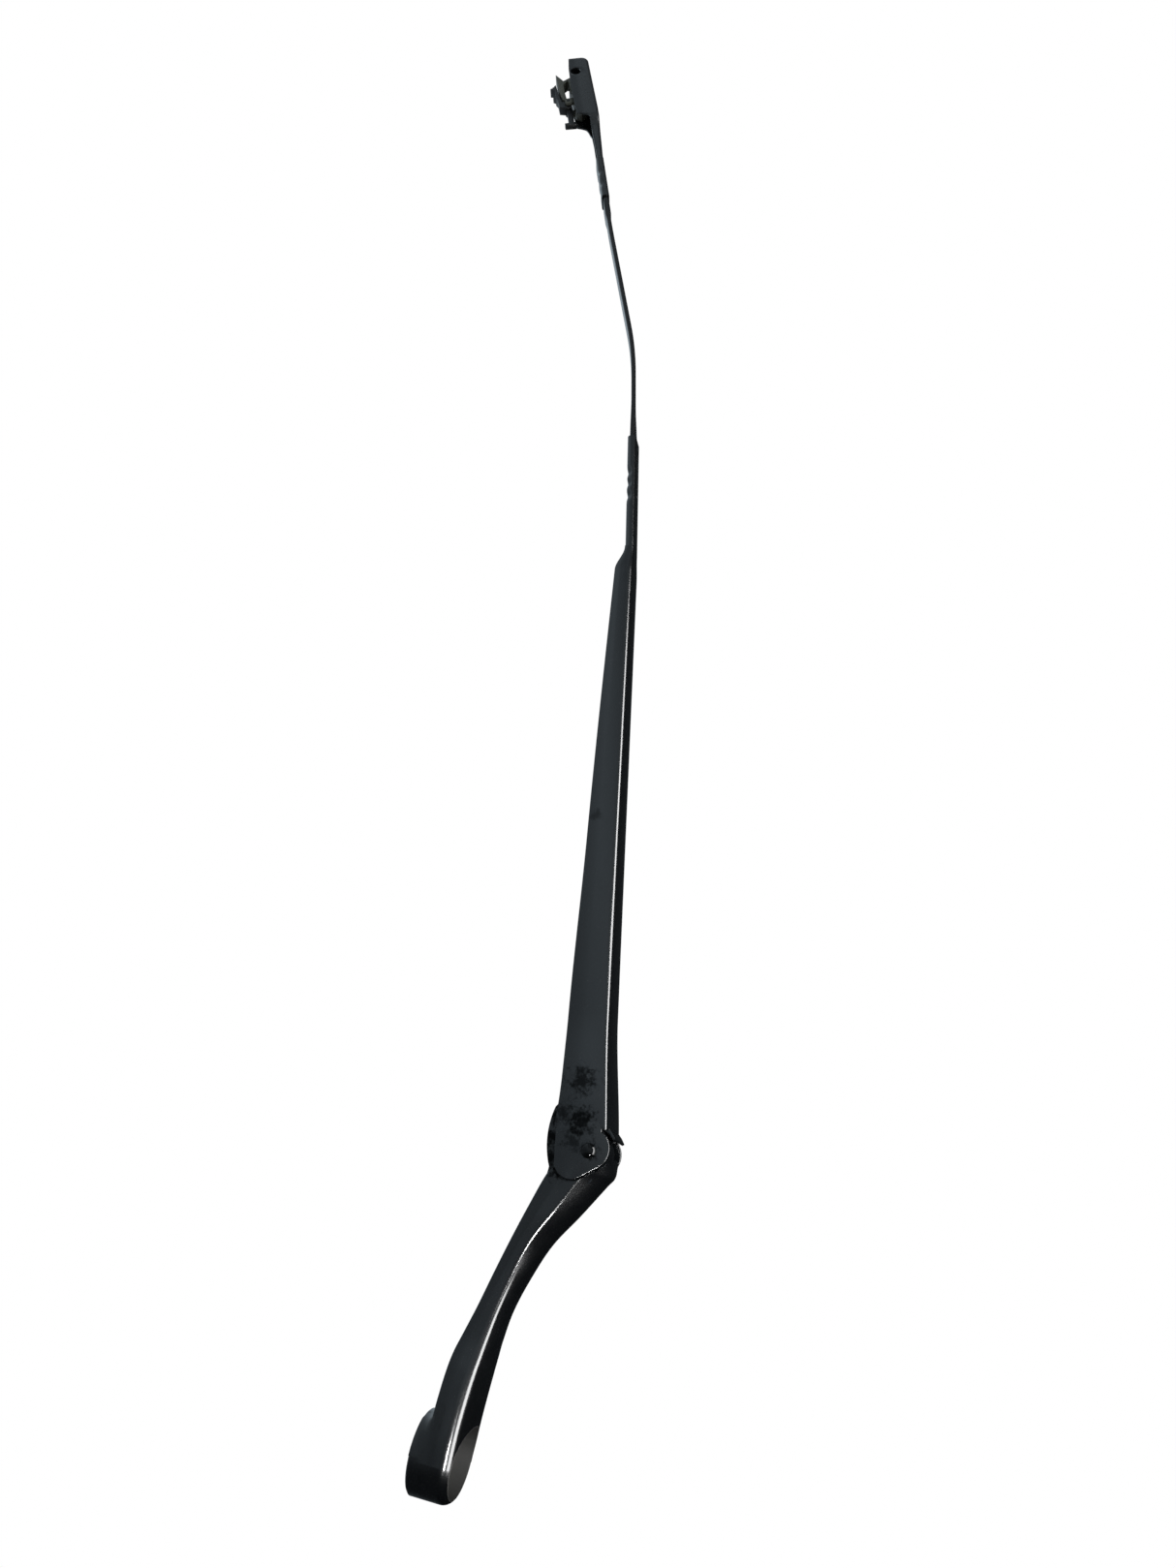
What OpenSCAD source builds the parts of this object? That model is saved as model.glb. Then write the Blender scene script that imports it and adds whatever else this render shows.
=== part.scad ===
// Windscreen wiper arm: die-cast head, pressed channel, sprung hinge, flat rod and blade end.
// The origin is the centre of the nut seat on the spindle axis. +Z points away from the glass,
// +X runs along the arm to the blade end, and the arm is symmetric about Y = 0 up to the rod's twist.

/* [Mounting head] */
// Radius of the round boss at the spindle
boss_r = 13.7; // [13:0.1:16]
// How far the boss reaches below the nut seat
boss_drop = 8.9; // [7:0.1:12]
// Height of the head's shoulder line above the nut seat
shoulder_z = 4.2; // [3:0.1:6]
// Radius of the nut recess in the outer face
recess_r = 11.7; // [10:0.1:11.9]
// Radius of the hole for the spindle's thread
stud_hole_r = 4.2; // [3:0.05:5]
// Length of the straight hole under the nut seat
seat_t = 2.5; // [2:0.1:4]
// Radius of the spindle taper at its mouth
taper_mouth_r = 6.2; // [5.5:0.1:8]
// Width of the head at its waist
waist_w = 19.6; // [17:0.1:22]
// Depth of the head's side wall at its waist
waist_d = 8.3; // [7.5:0.1:10]
// Wall left round the hollow underside of the head
cast_wall = 3.4; // [2.8:0.1:4]

/* [Hinge] */
// Distance along X from the spindle axis to the hinge axis
hinge_x = 108.2; // [95:0.1:130]
// Height of the hinge axis above the nut seat
hinge_z = 30; // [26:0.1:34]
// Angle by which the arm drops towards the glass
arm_pitch = 9.4; // [5:0.1:14]
// Width over the two hinge ears
hinge_w = 24.4; // [23:0.1:28]
// Radius of the hinge rivet's shank
rivet_r = 2; // [1.6:0.05:2.4]
// Radius of the rivet's domed heads
rivet_head_r = 2.7; // [2.5:0.05:3.4]
// Wall of the hinge bushes
bush_wall = 1.3; // [1:0.1:1.6]
// Radius of the head's round knee over the hinge
knee_r = 6.7; // [6.2:0.1:6.9]
// Radius of the spring anchor pin
anchor_r = 2; // [1.6:0.1:2.2]

/* [Channel] */
// Thickness of the channel's sheet
sheet = 1.3; // [1:0.1:1.5]
// Distance from the hinge axis to the step before the crimped tail
step_x = 262; // [250:1:300]
// Length of the crimped tail
tail_len = 62; // [45:1:80]
// Height of the channel's shoulder line above the hinge axis
web_h = 4.7; // [4.4:0.1:6]
// How far the shoulder line rises at the hinge
heel_h = 1.8; // [1.6:0.1:2.2]
// Width of the channel where it leaves the hinge
channel_w = 20; // [18:0.1:21]
// Width of the channel at its step
step_w = 14.4; // [13:0.1:16]
// Depth of the channel's walls below the hinge axis at the ears
ear_d = 12.6; // [12:0.1:14]
// Radius of the channel's outer corners
corner_r = 3.2; // [2.6:0.1:4]

/* [Rod] */
// Width of the flat rod
rod_w = 8; // [6:0.1:10]
// Thickness of the flat rod
rod_t = 2.2; // [1.8:0.1:3]
// Free length of the rod between its two crimps
rod_free = 161; // [120:1:220]
// Twist of the rod between the tail and the blade end
rod_twist = 10; // [0:1:14]
// Bend of the rod towards the glass
rod_bend = 8.4; // [4:0.2:12]
// Bend of the rod back again before the blade end
rod_back = 1.5; // [0:0.1:6]
// Gap between the rod and the sheet crimped round it
crimp_fit = 0.05; // [0.03:0.01:0.15]

/* [Blade end] */
// Sheet thickness of the tip holder
tip_sheet = 0.9; // [0.7:0.1:1.2]
// Length of the tip holder's crimp sleeve
sleeve_len = 29; // [20:1:40]
// Length of the tip holder's neck
neck_len = 33; // [30:1:50]
// Length of the tip box
box_len = 46; // [42:1:55]
// Outer width of the tip box
box_w = 14; // [13:0.1:17]
// Depth of the tip box
box_d = 12.7; // [12:0.1:13.5]
// Radius of the adapter's cross pin
adapter_pin_r = 1.5; // [1.2:0.1:1.7]
// Radius of the round hole in both walls of the box
box_hole_r = 2.9; // [2:0.1:3]

/* [Spring] */
// Outer diameter of the tension spring
spring_od = 9.2; // [8:0.1:9.4]
// Diameter of the spring's wire
wire_d = 1.9; // [1.5:0.1:2]
// Number of working turns
turns = 32; // [20:1:34]
// Distance from the hinge axis to the spring's far hook
hook_x = 118; // [112:1:125]
// Thickness of the C-shaped link
link_t = 3.2; // [2.5:0.1:3.6]

/* [Hidden] */
$fn = 48;

// Running clearance of a pin in its bore, on the radius
run = 0.05;
// Clearance between pieces that pass each other
gap = 0.3;

lug_hw = hinge_w / 2 - sheet - 1;
bush_r = rivet_r + run + bush_wall;
flange_t = hinge_w / 2 - sheet - 0.1 - lug_hw;
ear_r = 6.3;
ear_c = [-3.9, ear_r - ear_d];
ear_clear = norm(ear_c) + ear_r + 0.5;
tongue_hw = 6.5;
tongue_x = 2.5;
knee_crown = 2.2;
heel_crown = 0.9;
knee_clear = norm([tongue_x, web_h + heel_h + heel_crown + 0.5]) + 1.1;
web_end_x = 7.6;
lug_end_x = 18.2;
anchor = [-4.92, -6.05];

// Smooth step from 0 to 1
function ease(t) = let (c = min(max(t, 0), 1)) c * c * (3 - 2 * c);
function mix(a, b, t) = a + (b - a) * t;
// Points of an arc, angles in degrees
function arc(c, r, a0, a1, n) = [for (i = [0:n]) let (a = mix(a0, a1, i / n)) c + r * [cos(a), sin(a)]];
function mirrored(half) = [for (i = [len(half) - 1:-1:0]) [-half[i][0], half[i][1]]];
// Catmull-Rom curve through equally weighted rows
function spline(rows, s) =
    let (n = len(rows), i = min(max(floor(s), 0), n - 2), t = s - i,
         p0 = rows[max(i - 1, 0)], p1 = rows[i], p2 = rows[i + 1], p3 = rows[min(i + 2, n - 1)])
    0.5 * (2 * p1 + (p2 - p0) * t + (2 * p0 - 5 * p1 + 4 * p2 - p3) * t * t
           + (3 * p1 - p0 - 3 * p2 + p3) * t * t * t);

// Solid through closed rings of points that all have the same number of points
module loft(rings) {
    n = len(rings[0]);
    m = len(rings);
    polyhedron(points = [for (r = rings) each r],
        faces = concat([[for (j = [0:n - 1]) j]],
                       [[for (j = [n - 1:-1:0]) (m - 1) * n + j]],
                       [for (i = [0:m - 2], j = [0:n - 1])
                           let (a = i * n + j, b = i * n + (j + 1) % n)
                           each [[a, a + n, b + n], [a, b + n, b]]]),
        convexity = 8);
}

// Side profile drawn in x and z, made w wide about Y = 0
module slab(w) rotate([90, 0, 0]) linear_extrude(w, center = true) children();
// Cylinder along Y, centred on Y = 0
module cross_pin(r, w) rotate([90, 0, 0]) cylinder(r = r, h = w, center = true);
// Frame of the arm: at the hinge axis, x along the arm, z away from the glass
module at_hinge() translate([hinge_x, 0, hinge_z]) rotate([0, arm_pitch, 0]) children();
module both_sides() { children(); mirror([0, 1, 0]) children(); }

// Head: a casting from the spindle boss up to the hinge lug

head_fillet = 1.4;
// Rim of the boss that stands proud of the arm's side, and the crown of the boss
boss_proud = 0.15;
boss_crown = 3.2;
// Rows of the head: place along it, how far its width has gone from the boss (0) over the waist (1)
// to the hinge (2), added depth of the side wall, rise of the shoulder line, crown and its power
rise = hinge_z - shoulder_z;
head_rows = [for (r = [
        [-0.01, 0, 0, 0, 3.2, 6], [0.09, 0, 0, 0, 3.4, 6], [0.18, 0.12, 0.03, 0.015, 4.2, 5],
        [0.26, 0.36, 0.06, 0.04, 4.6, 4], [0.315, 0.62, 0.08, 0.077, 4, 3.5],
        [0.37, 0.84, 0.04, 0.125, 2.2, 3], [0.46, 1, 0, 0.22, 1.6, 2.6], [0.57, 1, 0.02, 0.345, 2.6, 3],
        [0.685, 1.35, 0.09, 0.51, 3.6, 3.5], [0.795, 1.8, 0.45, 0.77, 4.6, 4],
        [0.9, 2, 0.73, 1.01, 5.7, 4], [0.98, 2, 0.9, 1.2, 5.9, 4]])
    let (w = r[1] < 1 ? mix(boss_r - boss_proud, waist_w / 2, r[1])
                      : mix(waist_w / 2, hinge_w / 2, r[1] - 1))
    [r[0] * hinge_x, w, waist_d * (1 + r[2] * 0.95), shoulder_z + rise * r[3], r[4], r[5]]];
function head_ring(r) =
    let (x = r[0], w = r[1], z0 = r[3] - r[2], z1 = r[3], f = head_fillet, flat = w - f,
         half = concat([[w - 1, z0], [w, z0 + 1]], arc([w - f, z1 - f], f, 0, 75, 3),
                       [for (y = [0.93, 0.85, 0.74, 0.55, 0.3]) [flat * y, z1 + r[4] * (1 - pow(y, r[5]))]]))
    [for (p = concat(half, [[0, z1 + r[4]]], mirrored(half))) [x, p[0], p[1]]];

module head_arm() loft([for (s = [0:1 / 3:len(head_rows) - 1]) head_ring(spline(head_rows, s))]);

module spindle_boss()
    rotate_extrude($fn = 96)
        polygon(concat([[0, -boss_drop], [boss_r - 0.5, -boss_drop], [boss_r, 0.5 - boss_drop]],
            arc([boss_r - head_fillet, shoulder_z - head_fillet], head_fillet, 0, 80, 4),
            [for (y = [0.93, 0.85, 0.7, 0])
                [(boss_r - head_fillet) * y, shoulder_z + boss_crown * (1 - pow(y, 6))]]));

// Barrel-shaped knee that the channel's tongue slides over
module knee()
    rotate([90, 0, 0]) rotate_extrude($fn = 64)
        polygon(concat([[0, -lug_hw], [0, lug_hw]],
            [for (i = [5:-1:-5]) let (y = i / 5) [knee_r - knee_crown * y * y, lug_hw * y]]));

lug_belly_r = 31;
lug_belly = [3.4, lug_belly_r - ear_d - 3.6];
module lug_profile()
    polygon(concat([[-13, -ear_d - 4], [-6.5, -ear_d - 2.4]],
        arc(lug_belly, lug_belly_r, 253, 293, 8),
        [[lug_end_x, 1.5 - ear_d], [lug_end_x, web_h - 0.4], [web_end_x, 4.4], [3, 4.6],
         [-10.3, 1.2], [-13.5, -4]]));

// Bay between the lug's cheeks, open to the glass side, to the arm and over the hinge
bay_hw = 4.6;
module bay_profile()
    polygon([[-40, -30], [-14, -14], [-10, -9], [-9.9, -1.6], [-2.2, 1.5], [-2.2, 20], [40, 20], [40, -30]]);

// Hollow underside of the head between the boss and the lug
module underside_hollow()
    slab(waist_w - 2 * cast_wall)
        polygon(concat([[boss_r + 10, -20], [hinge_x - 12, -20 + hinge_z / 2]],
            [for (s = [9.7:-1:3]) let (r = spline(head_rows, s)) [r[0], r[3] - cast_wall]],
            [[boss_r + 10, shoulder_z - 2 * cast_wall]]));

module mounting_head() color("#24292c") difference() {
    union() {
        spindle_boss();
        difference() {
            head_arm();
            at_hinge() {
                cross_pin(knee_clear, 60);
                both_sides() translate([0, lug_hw - 0.1, 0]) rotate([-90, 0, 0])
                    cylinder(r = ear_clear, h = 10);
            }
        }
        at_hinge() {
            knee();
            slab(2 * lug_hw) lug_profile();
        }
    }
    cylinder(r = recess_r, h = 30, $fn = 96);
    translate([0, 0, -30]) cylinder(r = stud_hole_r, h = 40);
    translate([0, 0, -boss_drop - 0.01])
        cylinder(r1 = taper_mouth_r, r2 = stud_hole_r + 0.8, h = boss_drop - seat_t + 0.01);
    underside_hollow();
    at_hinge() {
        cross_pin(bush_r, 60);
        slab(2 * bay_hw) bay_profile();
        translate([anchor[0], 0, anchor[1]]) cross_pin(anchor_r + 0.01, 60);
    }
}

module spring_anchor_pin() color("#8a8d8f")
    at_hinge() translate([anchor[0], 0, anchor[1]]) cross_pin(anchor_r, 2 * lug_hw - 0.4);

// Flanged bush in one cheek of the lug
module hinge_bush() difference() {
    rotate([-90, 0, 0]) {
        translate([0, 0, bay_hw]) cylinder(r = bush_r - 0.01, h = lug_hw - bay_hw + flange_t);
        translate([0, 0, lug_hw]) cylinder(r = bush_r + 1.2, h = flange_t);
    }
    cross_pin(rivet_r + run, 60);
}
module hinge_bush_near() color("#d8d4c6") at_hinge() hinge_bush();
module hinge_bush_far() color("#d8d4c6") at_hinge() mirror([0, 1, 0]) hinge_bush();

module hinge_rivet() color("#3a3f42") at_hinge() {
    cross_pin(rivet_r, hinge_w + 1);
    both_sides() translate([0, hinge_w / 2, 0]) rotate([-90, 0, 0]) rotate_extrude()
        polygon(concat([[0, 0]], [[rivet_head_r, 0], [rivet_head_r, 0.35]],
            [for (a = [15:15:75]) [rivet_head_r * cos(a), 0.35 + 1.5 * sin(a)]], [[0, 1.85]]));
}

// Channel: one pressing with two ears, a tongue over the knee and a crimped tail

crimp_wall = 0.85;
tail_hw = rod_w / 2 + crimp_fit + sheet;
void_hw = rod_w / 2 + crimp_fit;
void_half_t = rod_t / 2 + crimp_fit;
tail_half_t = void_half_t + crimp_wall;
tail_z = web_h - 0.13 - tail_half_t;
tail_start = step_x;
tail_tilt = 1.4;
function belly(x) = 0.8 * sin(180 * min(max((x - 25) / (step_x - 35), 0), 1));
// From 0 to 1 over the last stretch, where the channel draws in to the tail
step_run = 13;
function draw_in(x) = ease((x - step_x + step_run) / step_run);
function wall_z(x) = mix(mix(1.7 - ear_d, -2.9, (x - 25) / (step_x - 33)) - belly(x) - bulge(x)
                         - 1.7 * (1 - ease((x - 8) / 18)), tail_z - tail_half_t, draw_in(x));
function bulge(x) = 0.9 * ease((x - 12) / 14) * (1 - ease((x - 50) / 70));
function heel(x) = 1 - ease(x / 50);
function chan_hw(x) =
    let (long = mix(channel_w / 2, step_w / 2, x / step_x), heel_hw = hinge_w / 2 - 0.12)
    mix(mix(long, heel_hw, 1 - ease((x - 11) / 40)), tail_hw + 0.05, draw_in(x));
function web_z(x) = web_h + heel_h * heel(x) - 0.15 * draw_in(x);
function web_crown(x) = mix(0.5 + heel_crown * heel(x), 0.15, draw_in(x));
function web_corner(x) = mix(corner_r - 0.8 * ease(x / step_x), 1.5, draw_in(x));
function web_t(x) = mix(sheet, crimp_wall, ease((x - step_x + 2 * step_run) / step_run));

// Half outline of the pressed sheet at height offset t inside its outer face
function sheet_half(w, z0, z1, c, r, t) =
    let (lean = atan(2 * c / (w - r + 1)), a = 90 - lean, ye = w - r + (r - t) * cos(a),
         ze = z1 - r + (r - t) * sin(a))
    concat([[w - t, z0]], arc([w - r, z1 - r], r - t, 0, a, 5),
           [for (y = [0.75, 0.5, 0.25]) [ye * y, ze + c * (1 - y * y)]], [[0, ze + c]]);
// Section across the sheet at x, whose far wall may end at a height zf of its own
function u_ring(x, w, z0, z1, c, r, t, zf) =
    let (o = sheet_half(w, z0, z1, c, r, 0), i = sheet_half(w, z0, z1, c, r, t), n = len(o),
         far = is_undef(zf) ? z0 : zf)
    concat([for (p = o) [x, p[0], p[1]]],
           [for (j = [n - 2:-1:0]) [x, -o[j][0], j == 0 ? far : o[j][1]]],
           [for (j = [0:n - 1]) [x, -i[j][0], j == 0 ? far : i[j][1]]],
           [for (j = [n - 2:-1:0]) [x, i[j][0], i[j][1]]]);
heel_end = 64;
chan_x = concat([tongue_x, 5, 8, 12, 18, 25, 33, 42, 52, heel_end],
                [for (i = [1:8]) mix(heel_end, step_x - step_run, i / 8)],
                [for (i = [1:5]) step_x - step_run + (step_run + 0.5) * i / 5]);
module channel_shell()
    loft([for (x = chan_x)
        u_ring(x, chan_hw(x), wall_z(x), web_z(x), web_crown(x), web_corner(x), web_t(x))]);

ear_top = [0.9, 0];
ear_top_r = 7.2;
module ear_profile() difference() {
    polygon(concat(arc(ear_top, ear_top_r, 40, 148, 12), arc(ear_c, ear_r, 146, 270, 14),
        [[18, -ear_d - 0.01], [18, 2], [10, 3.2]]));
    translate([6.9, 6.3]) circle(r = 1.9);
}

module channel() color("#262b2e") at_hinge() difference() {
    union() {
        difference() {
            channel_shell();
            both_sides() translate([-20, tongue_hw, -30]) cube([20 + web_end_x, 20, 60]);
        }
        both_sides() translate([0, hinge_w / 2 - sheet / 2, 0]) slab(sheet) ear_profile();
        at_tail() crimped_tail();
    }
    at_tail() translate([-0.5, 0, 0]) tail_outline(void_hw, void_half_t, tail_len + 9, 0.4);
    cross_pin(rivet_r + 0.02, 60);
}
module at_tail() translate([tail_start, 0, tail_z]) rotate([0, tail_tilt, 0]) children();
// Tail folded round the rod, with its seam on the glass side and crimp marks along both edges
module crimped_tail() difference() {
    tail_outline(tail_hw, tail_half_t, tail_len, 1.5);
    translate([-1, -seam_w / 2, -5]) cube([tail_len + 10, seam_w, 5]);
    for (x = [28, 35, 41]) both_sides() translate([x, tail_hw + 2.6, -tail_half_t - 2.6]) sphere(r = 4.2);
}
seam_w = 2;
// Rounded flat tube section along x
module tail_outline(w, t, l, r)
    rotate([90, 0, 90]) linear_extrude(l)
        polygon(concat(arc([w - r, t - r], r, 0, 90, 4), arc([r - w, t - r], r, 90, 180, 4),
                       arc([r - w, r - t], r, 180, 270, 4), arc([w - r, r - t], r, 270, 360, 4)));

// Rod: flat bar whose length coordinate s is 0 where the tail begins

rod_in = tail_start - hook_x + 3.4;
tail_run = tail_len;
tip_s = tail_run + rod_free;
rod_climb = 2.18;
rod_knots = [[-12, rod_climb], [-2, -tail_tilt], [tail_run, -tail_tilt], [tail_run + 4, -2.3],
             [tail_run + 0.24 * rod_free, -2.3], [tail_run + 0.43 * rod_free, -2.3 - rod_bend],
             [tail_run + 0.82 * rod_free, -2.3 - rod_bend],
             [tail_run + 0.9 * rod_free, rod_back - 2.3 - rod_bend]];
rod_s = concat([-rod_in], [for (k = [0:5]) -12 + 2 * k], [0, tail_run],
               [for (k = [1:60]) tail_run + k * rod_free / 60], [tip_s + sleeve_len - 1.5]);
rod_raw = [for (i = 0, p = [0, 0]; i < len(rod_s);
                i = i + 1, p = i < len(rod_s) ? p + rod_step(rod_s[i - 1], rod_s[i]) : p) p];
function rod_step(a, b) = let (h = lookup((a + b) / 2, rod_knots)) (b - a) * [cos(h), sin(h)];
rod_zero = search(0, rod_s)[0];
rod_pts = [for (p = rod_raw) p - rod_raw[rod_zero] + [tail_start, tail_z]];
hook_z = rod_pts[0][1] + 3.4 * sin(rod_climb);
tip_h = lookup(tip_s, rod_knots);
tip_c = rod_pts[len(rod_pts) - 2];

// Thickness of the rod, with a swaged shoulder before the blade end
swage = 0.9;
function rod_th(s) =
    rod_t + swage * lookup(s, [[tip_s - 16, 0], [tip_s - 13, 1], [tip_s - 3, 1], [tip_s - 1, 0]]);
function rod_ring(i) =
    let (s = rod_s[i], c = rod_pts[i], h = lookup(s, rod_knots), t = rod_twist * ease((s - tail_run) / 25),
         w = rod_w / 2, k = rod_th(s) / 2, f = 0.45)
    [for (p = [[w, f - k], [w, k - f], [w - f, k], [f - w, k],
               [-w, k - f], [-w, f - k], [f - w, -k], [w - f, -k]])
        let (y = p[0] * cos(t) - p[1] * sin(t), n = p[0] * sin(t) + p[1] * cos(t))
        [c[0] - n * sin(h), y, c[1] + n * cos(h)]];

module rod() color("#2b3033") at_hinge() difference() {
    loft([for (i = [0:len(rod_s) - 1]) rod_ring(i)]);
    translate([hook_x, 0, hook_z]) cylinder(r = wire_d / 2 + 0.55, h = 8, center = true);
}

// Blade end: stamped holder with sleeve, neck and open box

module at_tip() at_hinge()
    translate([tip_c[0], 0, tip_c[1]]) rotate([0, -tip_h, 0]) rotate([rod_twist, 0, 0]) children();

tip_crown = 0.15;
tip_corner = 1.6;
tip_hw = void_hw + tip_sheet;
tip_half_t = void_half_t + tip_sheet;
box_x = sleeve_len + neck_len;
box_end = box_x + box_len;
// Stations, widths and edges of the holder behind the sleeve, where x = 0 is the sleeve's end
tip_x = concat([0, 1.5], [for (k = [1:6]) neck_len * k * 0.14],
               [for (d = [-1.2, 0.2, 1.5, 3, 4.3, 5.6, 6.6, 9, 13, 17, 26, 38]) neck_len + d],
               [neck_len + box_len + 1]);
deep = tip_half_t + 0.65 - box_d;
function tip_w(x) =
    mix(mix(tip_hw - 0.1, tip_hw - 0.5, ease(x / 8)), box_w / 2, ease((x - neck_len + 7) / 7));
function tip_z(x) = tip_half_t + lookup(x < neck_len ? x / neck_len : 1 + (x - neck_len) / box_len,
    [[0, -0.2], [0.42, 0.35], [0.67, 0.65], [0.98, 1.1], [1.11, 1.05], [1.24, 0.85], [1.48, 0.45],
     [2, -0.35]]);
function near_edge(x) = lookup(x - neck_len,
    [[-neck_len, -1.3], [-18, -1.7], [-1.2, -2], [1.5, deep + 1], [17, deep], [38, deep + 0.1],
     [box_len, deep + 0.8]]);
function far_edge(x) = lookup(x - neck_len,
    [[-neck_len, -1.3], [-14, -1.3], [-6.8, -1.6], [0.2, -2.4], [4.3, -4], [5.6, -6.3], [6.6, deep + 1.2],
     [17, deep], [38, deep + 0.1], [box_len, deep + 0.8]]);

module tip_shell()
    translate([sleeve_len, 0, 0])
        loft([for (x = tip_x)
            u_ring(x, tip_w(x), near_edge(x), tip_z(x), tip_crown, tip_corner, tip_sheet, far_edge(x))]);

box_hole = [box_end - 10.7, deep + 3.8];
mouth_z = tip_z(neck_len + box_len);
mouth_r = 2.5;
adapter_pivot = [box_end - 20, deep + 3.2];
module tip_holder() color("#202427") at_tip() difference() {
    union() {
        tail_outline(tip_hw, tip_half_t, sleeve_len + 0.5, 1.4);
        tip_shell();
        // End wall folded down at the mouth
        translate([box_end - tip_sheet, 0, mouth_z]) slab(box_w - 1.4)
            translate([0, -4.4]) square([tip_sheet + 1, 3.8]);
    }
    translate([-1, 0, 0]) tail_outline(void_hw, void_half_t, sleeve_len + 2.5, 0.4);
    for (x = [9, 18]) both_sides() translate([x, tip_hw + 2.4, -tip_half_t - 2.4]) sphere(r = 4);
    translate([box_hole[0], 0, box_hole[1]]) cross_pin(box_hole_r, 60);
    at_adapter_pivot() cross_pin(adapter_pin_r, 60);
    translate([box_end - mouth_r, 0, mouth_z - mouth_r]) slab(60) difference() {
        translate([0, -20]) square([20, 30]);
        circle(r = mouth_r);
        translate([-1, -21]) square([mouth_r + 1, 21]);
    }
}

module adapter_pin() color("#7d8184")
    at_tip() at_adapter_pivot() cross_pin(adapter_pin_r - 0.005, box_w - 0.2);

// Plastic adapter held by the cross pin: a block in the box, an arm out of it to a pointed leaf,
// and two cheeks that carry the latch

adapter_hw = box_w / 2 - tip_sheet - gap;
leaf_hw = 3;
latch_hw = 2.5;
latch_pin_r = 1;
latch_pivot = [box_end - 31.2, deep - 2.4];
cheek_r = 1.9;
cheek_w = 1.8;
cheek_h = 4.6;
// Lower edge of the box at its mouth, from which the adapter and the latch are drawn
module at_mouth() translate([box_end, 0, deep]) children();
module at_latch_pivot() translate([latch_pivot[0], 0, latch_pivot[1]]) children();
module at_adapter_pivot() translate([adapter_pivot[0], 0, adapter_pivot[1]]) children();

module blade_adapter() color("#3c3e38") at_tip() difference() {
    union() {
        at_adapter_pivot() slab(2 * adapter_hw)
            polygon([[-16, 1.3], [-13, 4.3], [-4, 5.6], [4, 5.6], [6, 3.3], [6.4, -2.8], [4.6, -4],
                [-14, -2.2]]);
        at_mouth() slab(2 * leaf_hw)
            polygon([[-14.5, 1.3], [-9.4, 1.3], [-12.2, -3.4], [-6.4, -7.3], [-13, -6.9], [-21.2, -6.6],
                [-27.8, -5.2], [-28.4, -4], [-27.8, -2.9], [-21.6, -3.6], [-15, -3.6], [-12.8, -1.3]]);
        both_sides() translate([0, latch_hw + gap + cheek_w / 2, 0]) at_latch_pivot() slab(cheek_w) {
            circle(r = cheek_r);
            translate([-cheek_r, 0]) square([2 * cheek_r, cheek_h]);
        }
    }
    at_latch_pivot() cross_pin(latch_pin_r + run, 60);
    at_adapter_pivot() cross_pin(adapter_pin_r + run, 60);
}

// Link: C-shaped plate from the anchor pin round the hinge rivet to the spring
link_eye = 24;
pull = [hook_x, hook_z] - anchor;
pull_len = norm(pull);
module at_link() at_hinge()
    translate([anchor[0], 0, anchor[1]]) rotate([0, -atan2(pull[1], pull[0]), 0]) children();
ring_c = [7.7, -1];
ring_in = 4.4;
ring_out = 6.9;
module spring_link() color("#9aa0a3") at_link() slab(link_t) difference() {
    union() {
        circle(r = 4.2);
        difference() {
            translate(ring_c) circle(r = ring_out, $fn = 64);
            translate(ring_c) polygon(concat([[0, 0]], arc([0, 0], 12, 30, 150, 6)));
        }
        translate([link_eye, 0]) circle(r = 3.2);
        polygon([[ring_c[0] + 5, -3.6], [link_eye, -2.2], [link_eye, 2.2], [ring_c[0] + 5.4, 1.2]]);
    }
    circle(r = anchor_r + run);
    translate(ring_c) circle(r = ring_in, $fn = 64);
    translate([link_eye, 0]) circle(r = wire_d / 2 + 0.65);
}

// Spring: open coils with a loop at each end, the far loop a quarter turn round from the near one
coil_r = (spring_od - wire_d) / 2;
lead_x = 2;
lead_deg = 60;
near_c = link_eye + coil_r;
far_c = pull_len - coil_r;
coil_deg = 360 * round(turns) - 2 * lead_deg + 90;
// Each row of the wire's path: point on the centre line, then the direction away from the coil's axis
function lead(x, a, dir, u) =
    [[x + dir * lead_x * (1 - (1 - u) * (1 - u)), coil_r * cos(a), coil_r * sin(a)], [0, cos(a), sin(a)]];
wire = concat(
    [for (a = [-75:-15:-270]) [[near_c + coil_r * cos(a), coil_r * sin(a), 0], [cos(a), sin(a), 0]]],
    [for (u = [0.25:0.25:1]) lead(near_c, lead_deg * u * u, 1, u)],
    [for (a = [30:30:coil_deg - 30]) let (p = lead_deg + a)
        [[mix(near_c + lead_x, far_c - lead_x, a / coil_deg), coil_r * cos(p), coil_r * sin(p)],
         [0, cos(p), sin(p)]]],
    [for (u = [1:-0.25:0.25]) lead(far_c, 90 - lead_deg * u * u, -1, u)],
    [for (a = [0:15:255]) [[far_c + coil_r * sin(a), 0, coil_r * cos(a)], [sin(a), 0, cos(a)]]]);
function wire_ring(i) =
    let (d = wire[min(i + 1, len(wire) - 1)][0] - wire[max(i - 1, 0)][0], n = wire[i][1],
         b = cross(d / norm(d), n))
    [for (a = [0:60:300]) wire[i][0] + wire_d / 2 * (cos(a) * n + sin(a) * b)];

module tension_spring() color("#5d6164") at_link() loft([for (i = [0:len(wire) - 1]) wire_ring(i)]);

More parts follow.
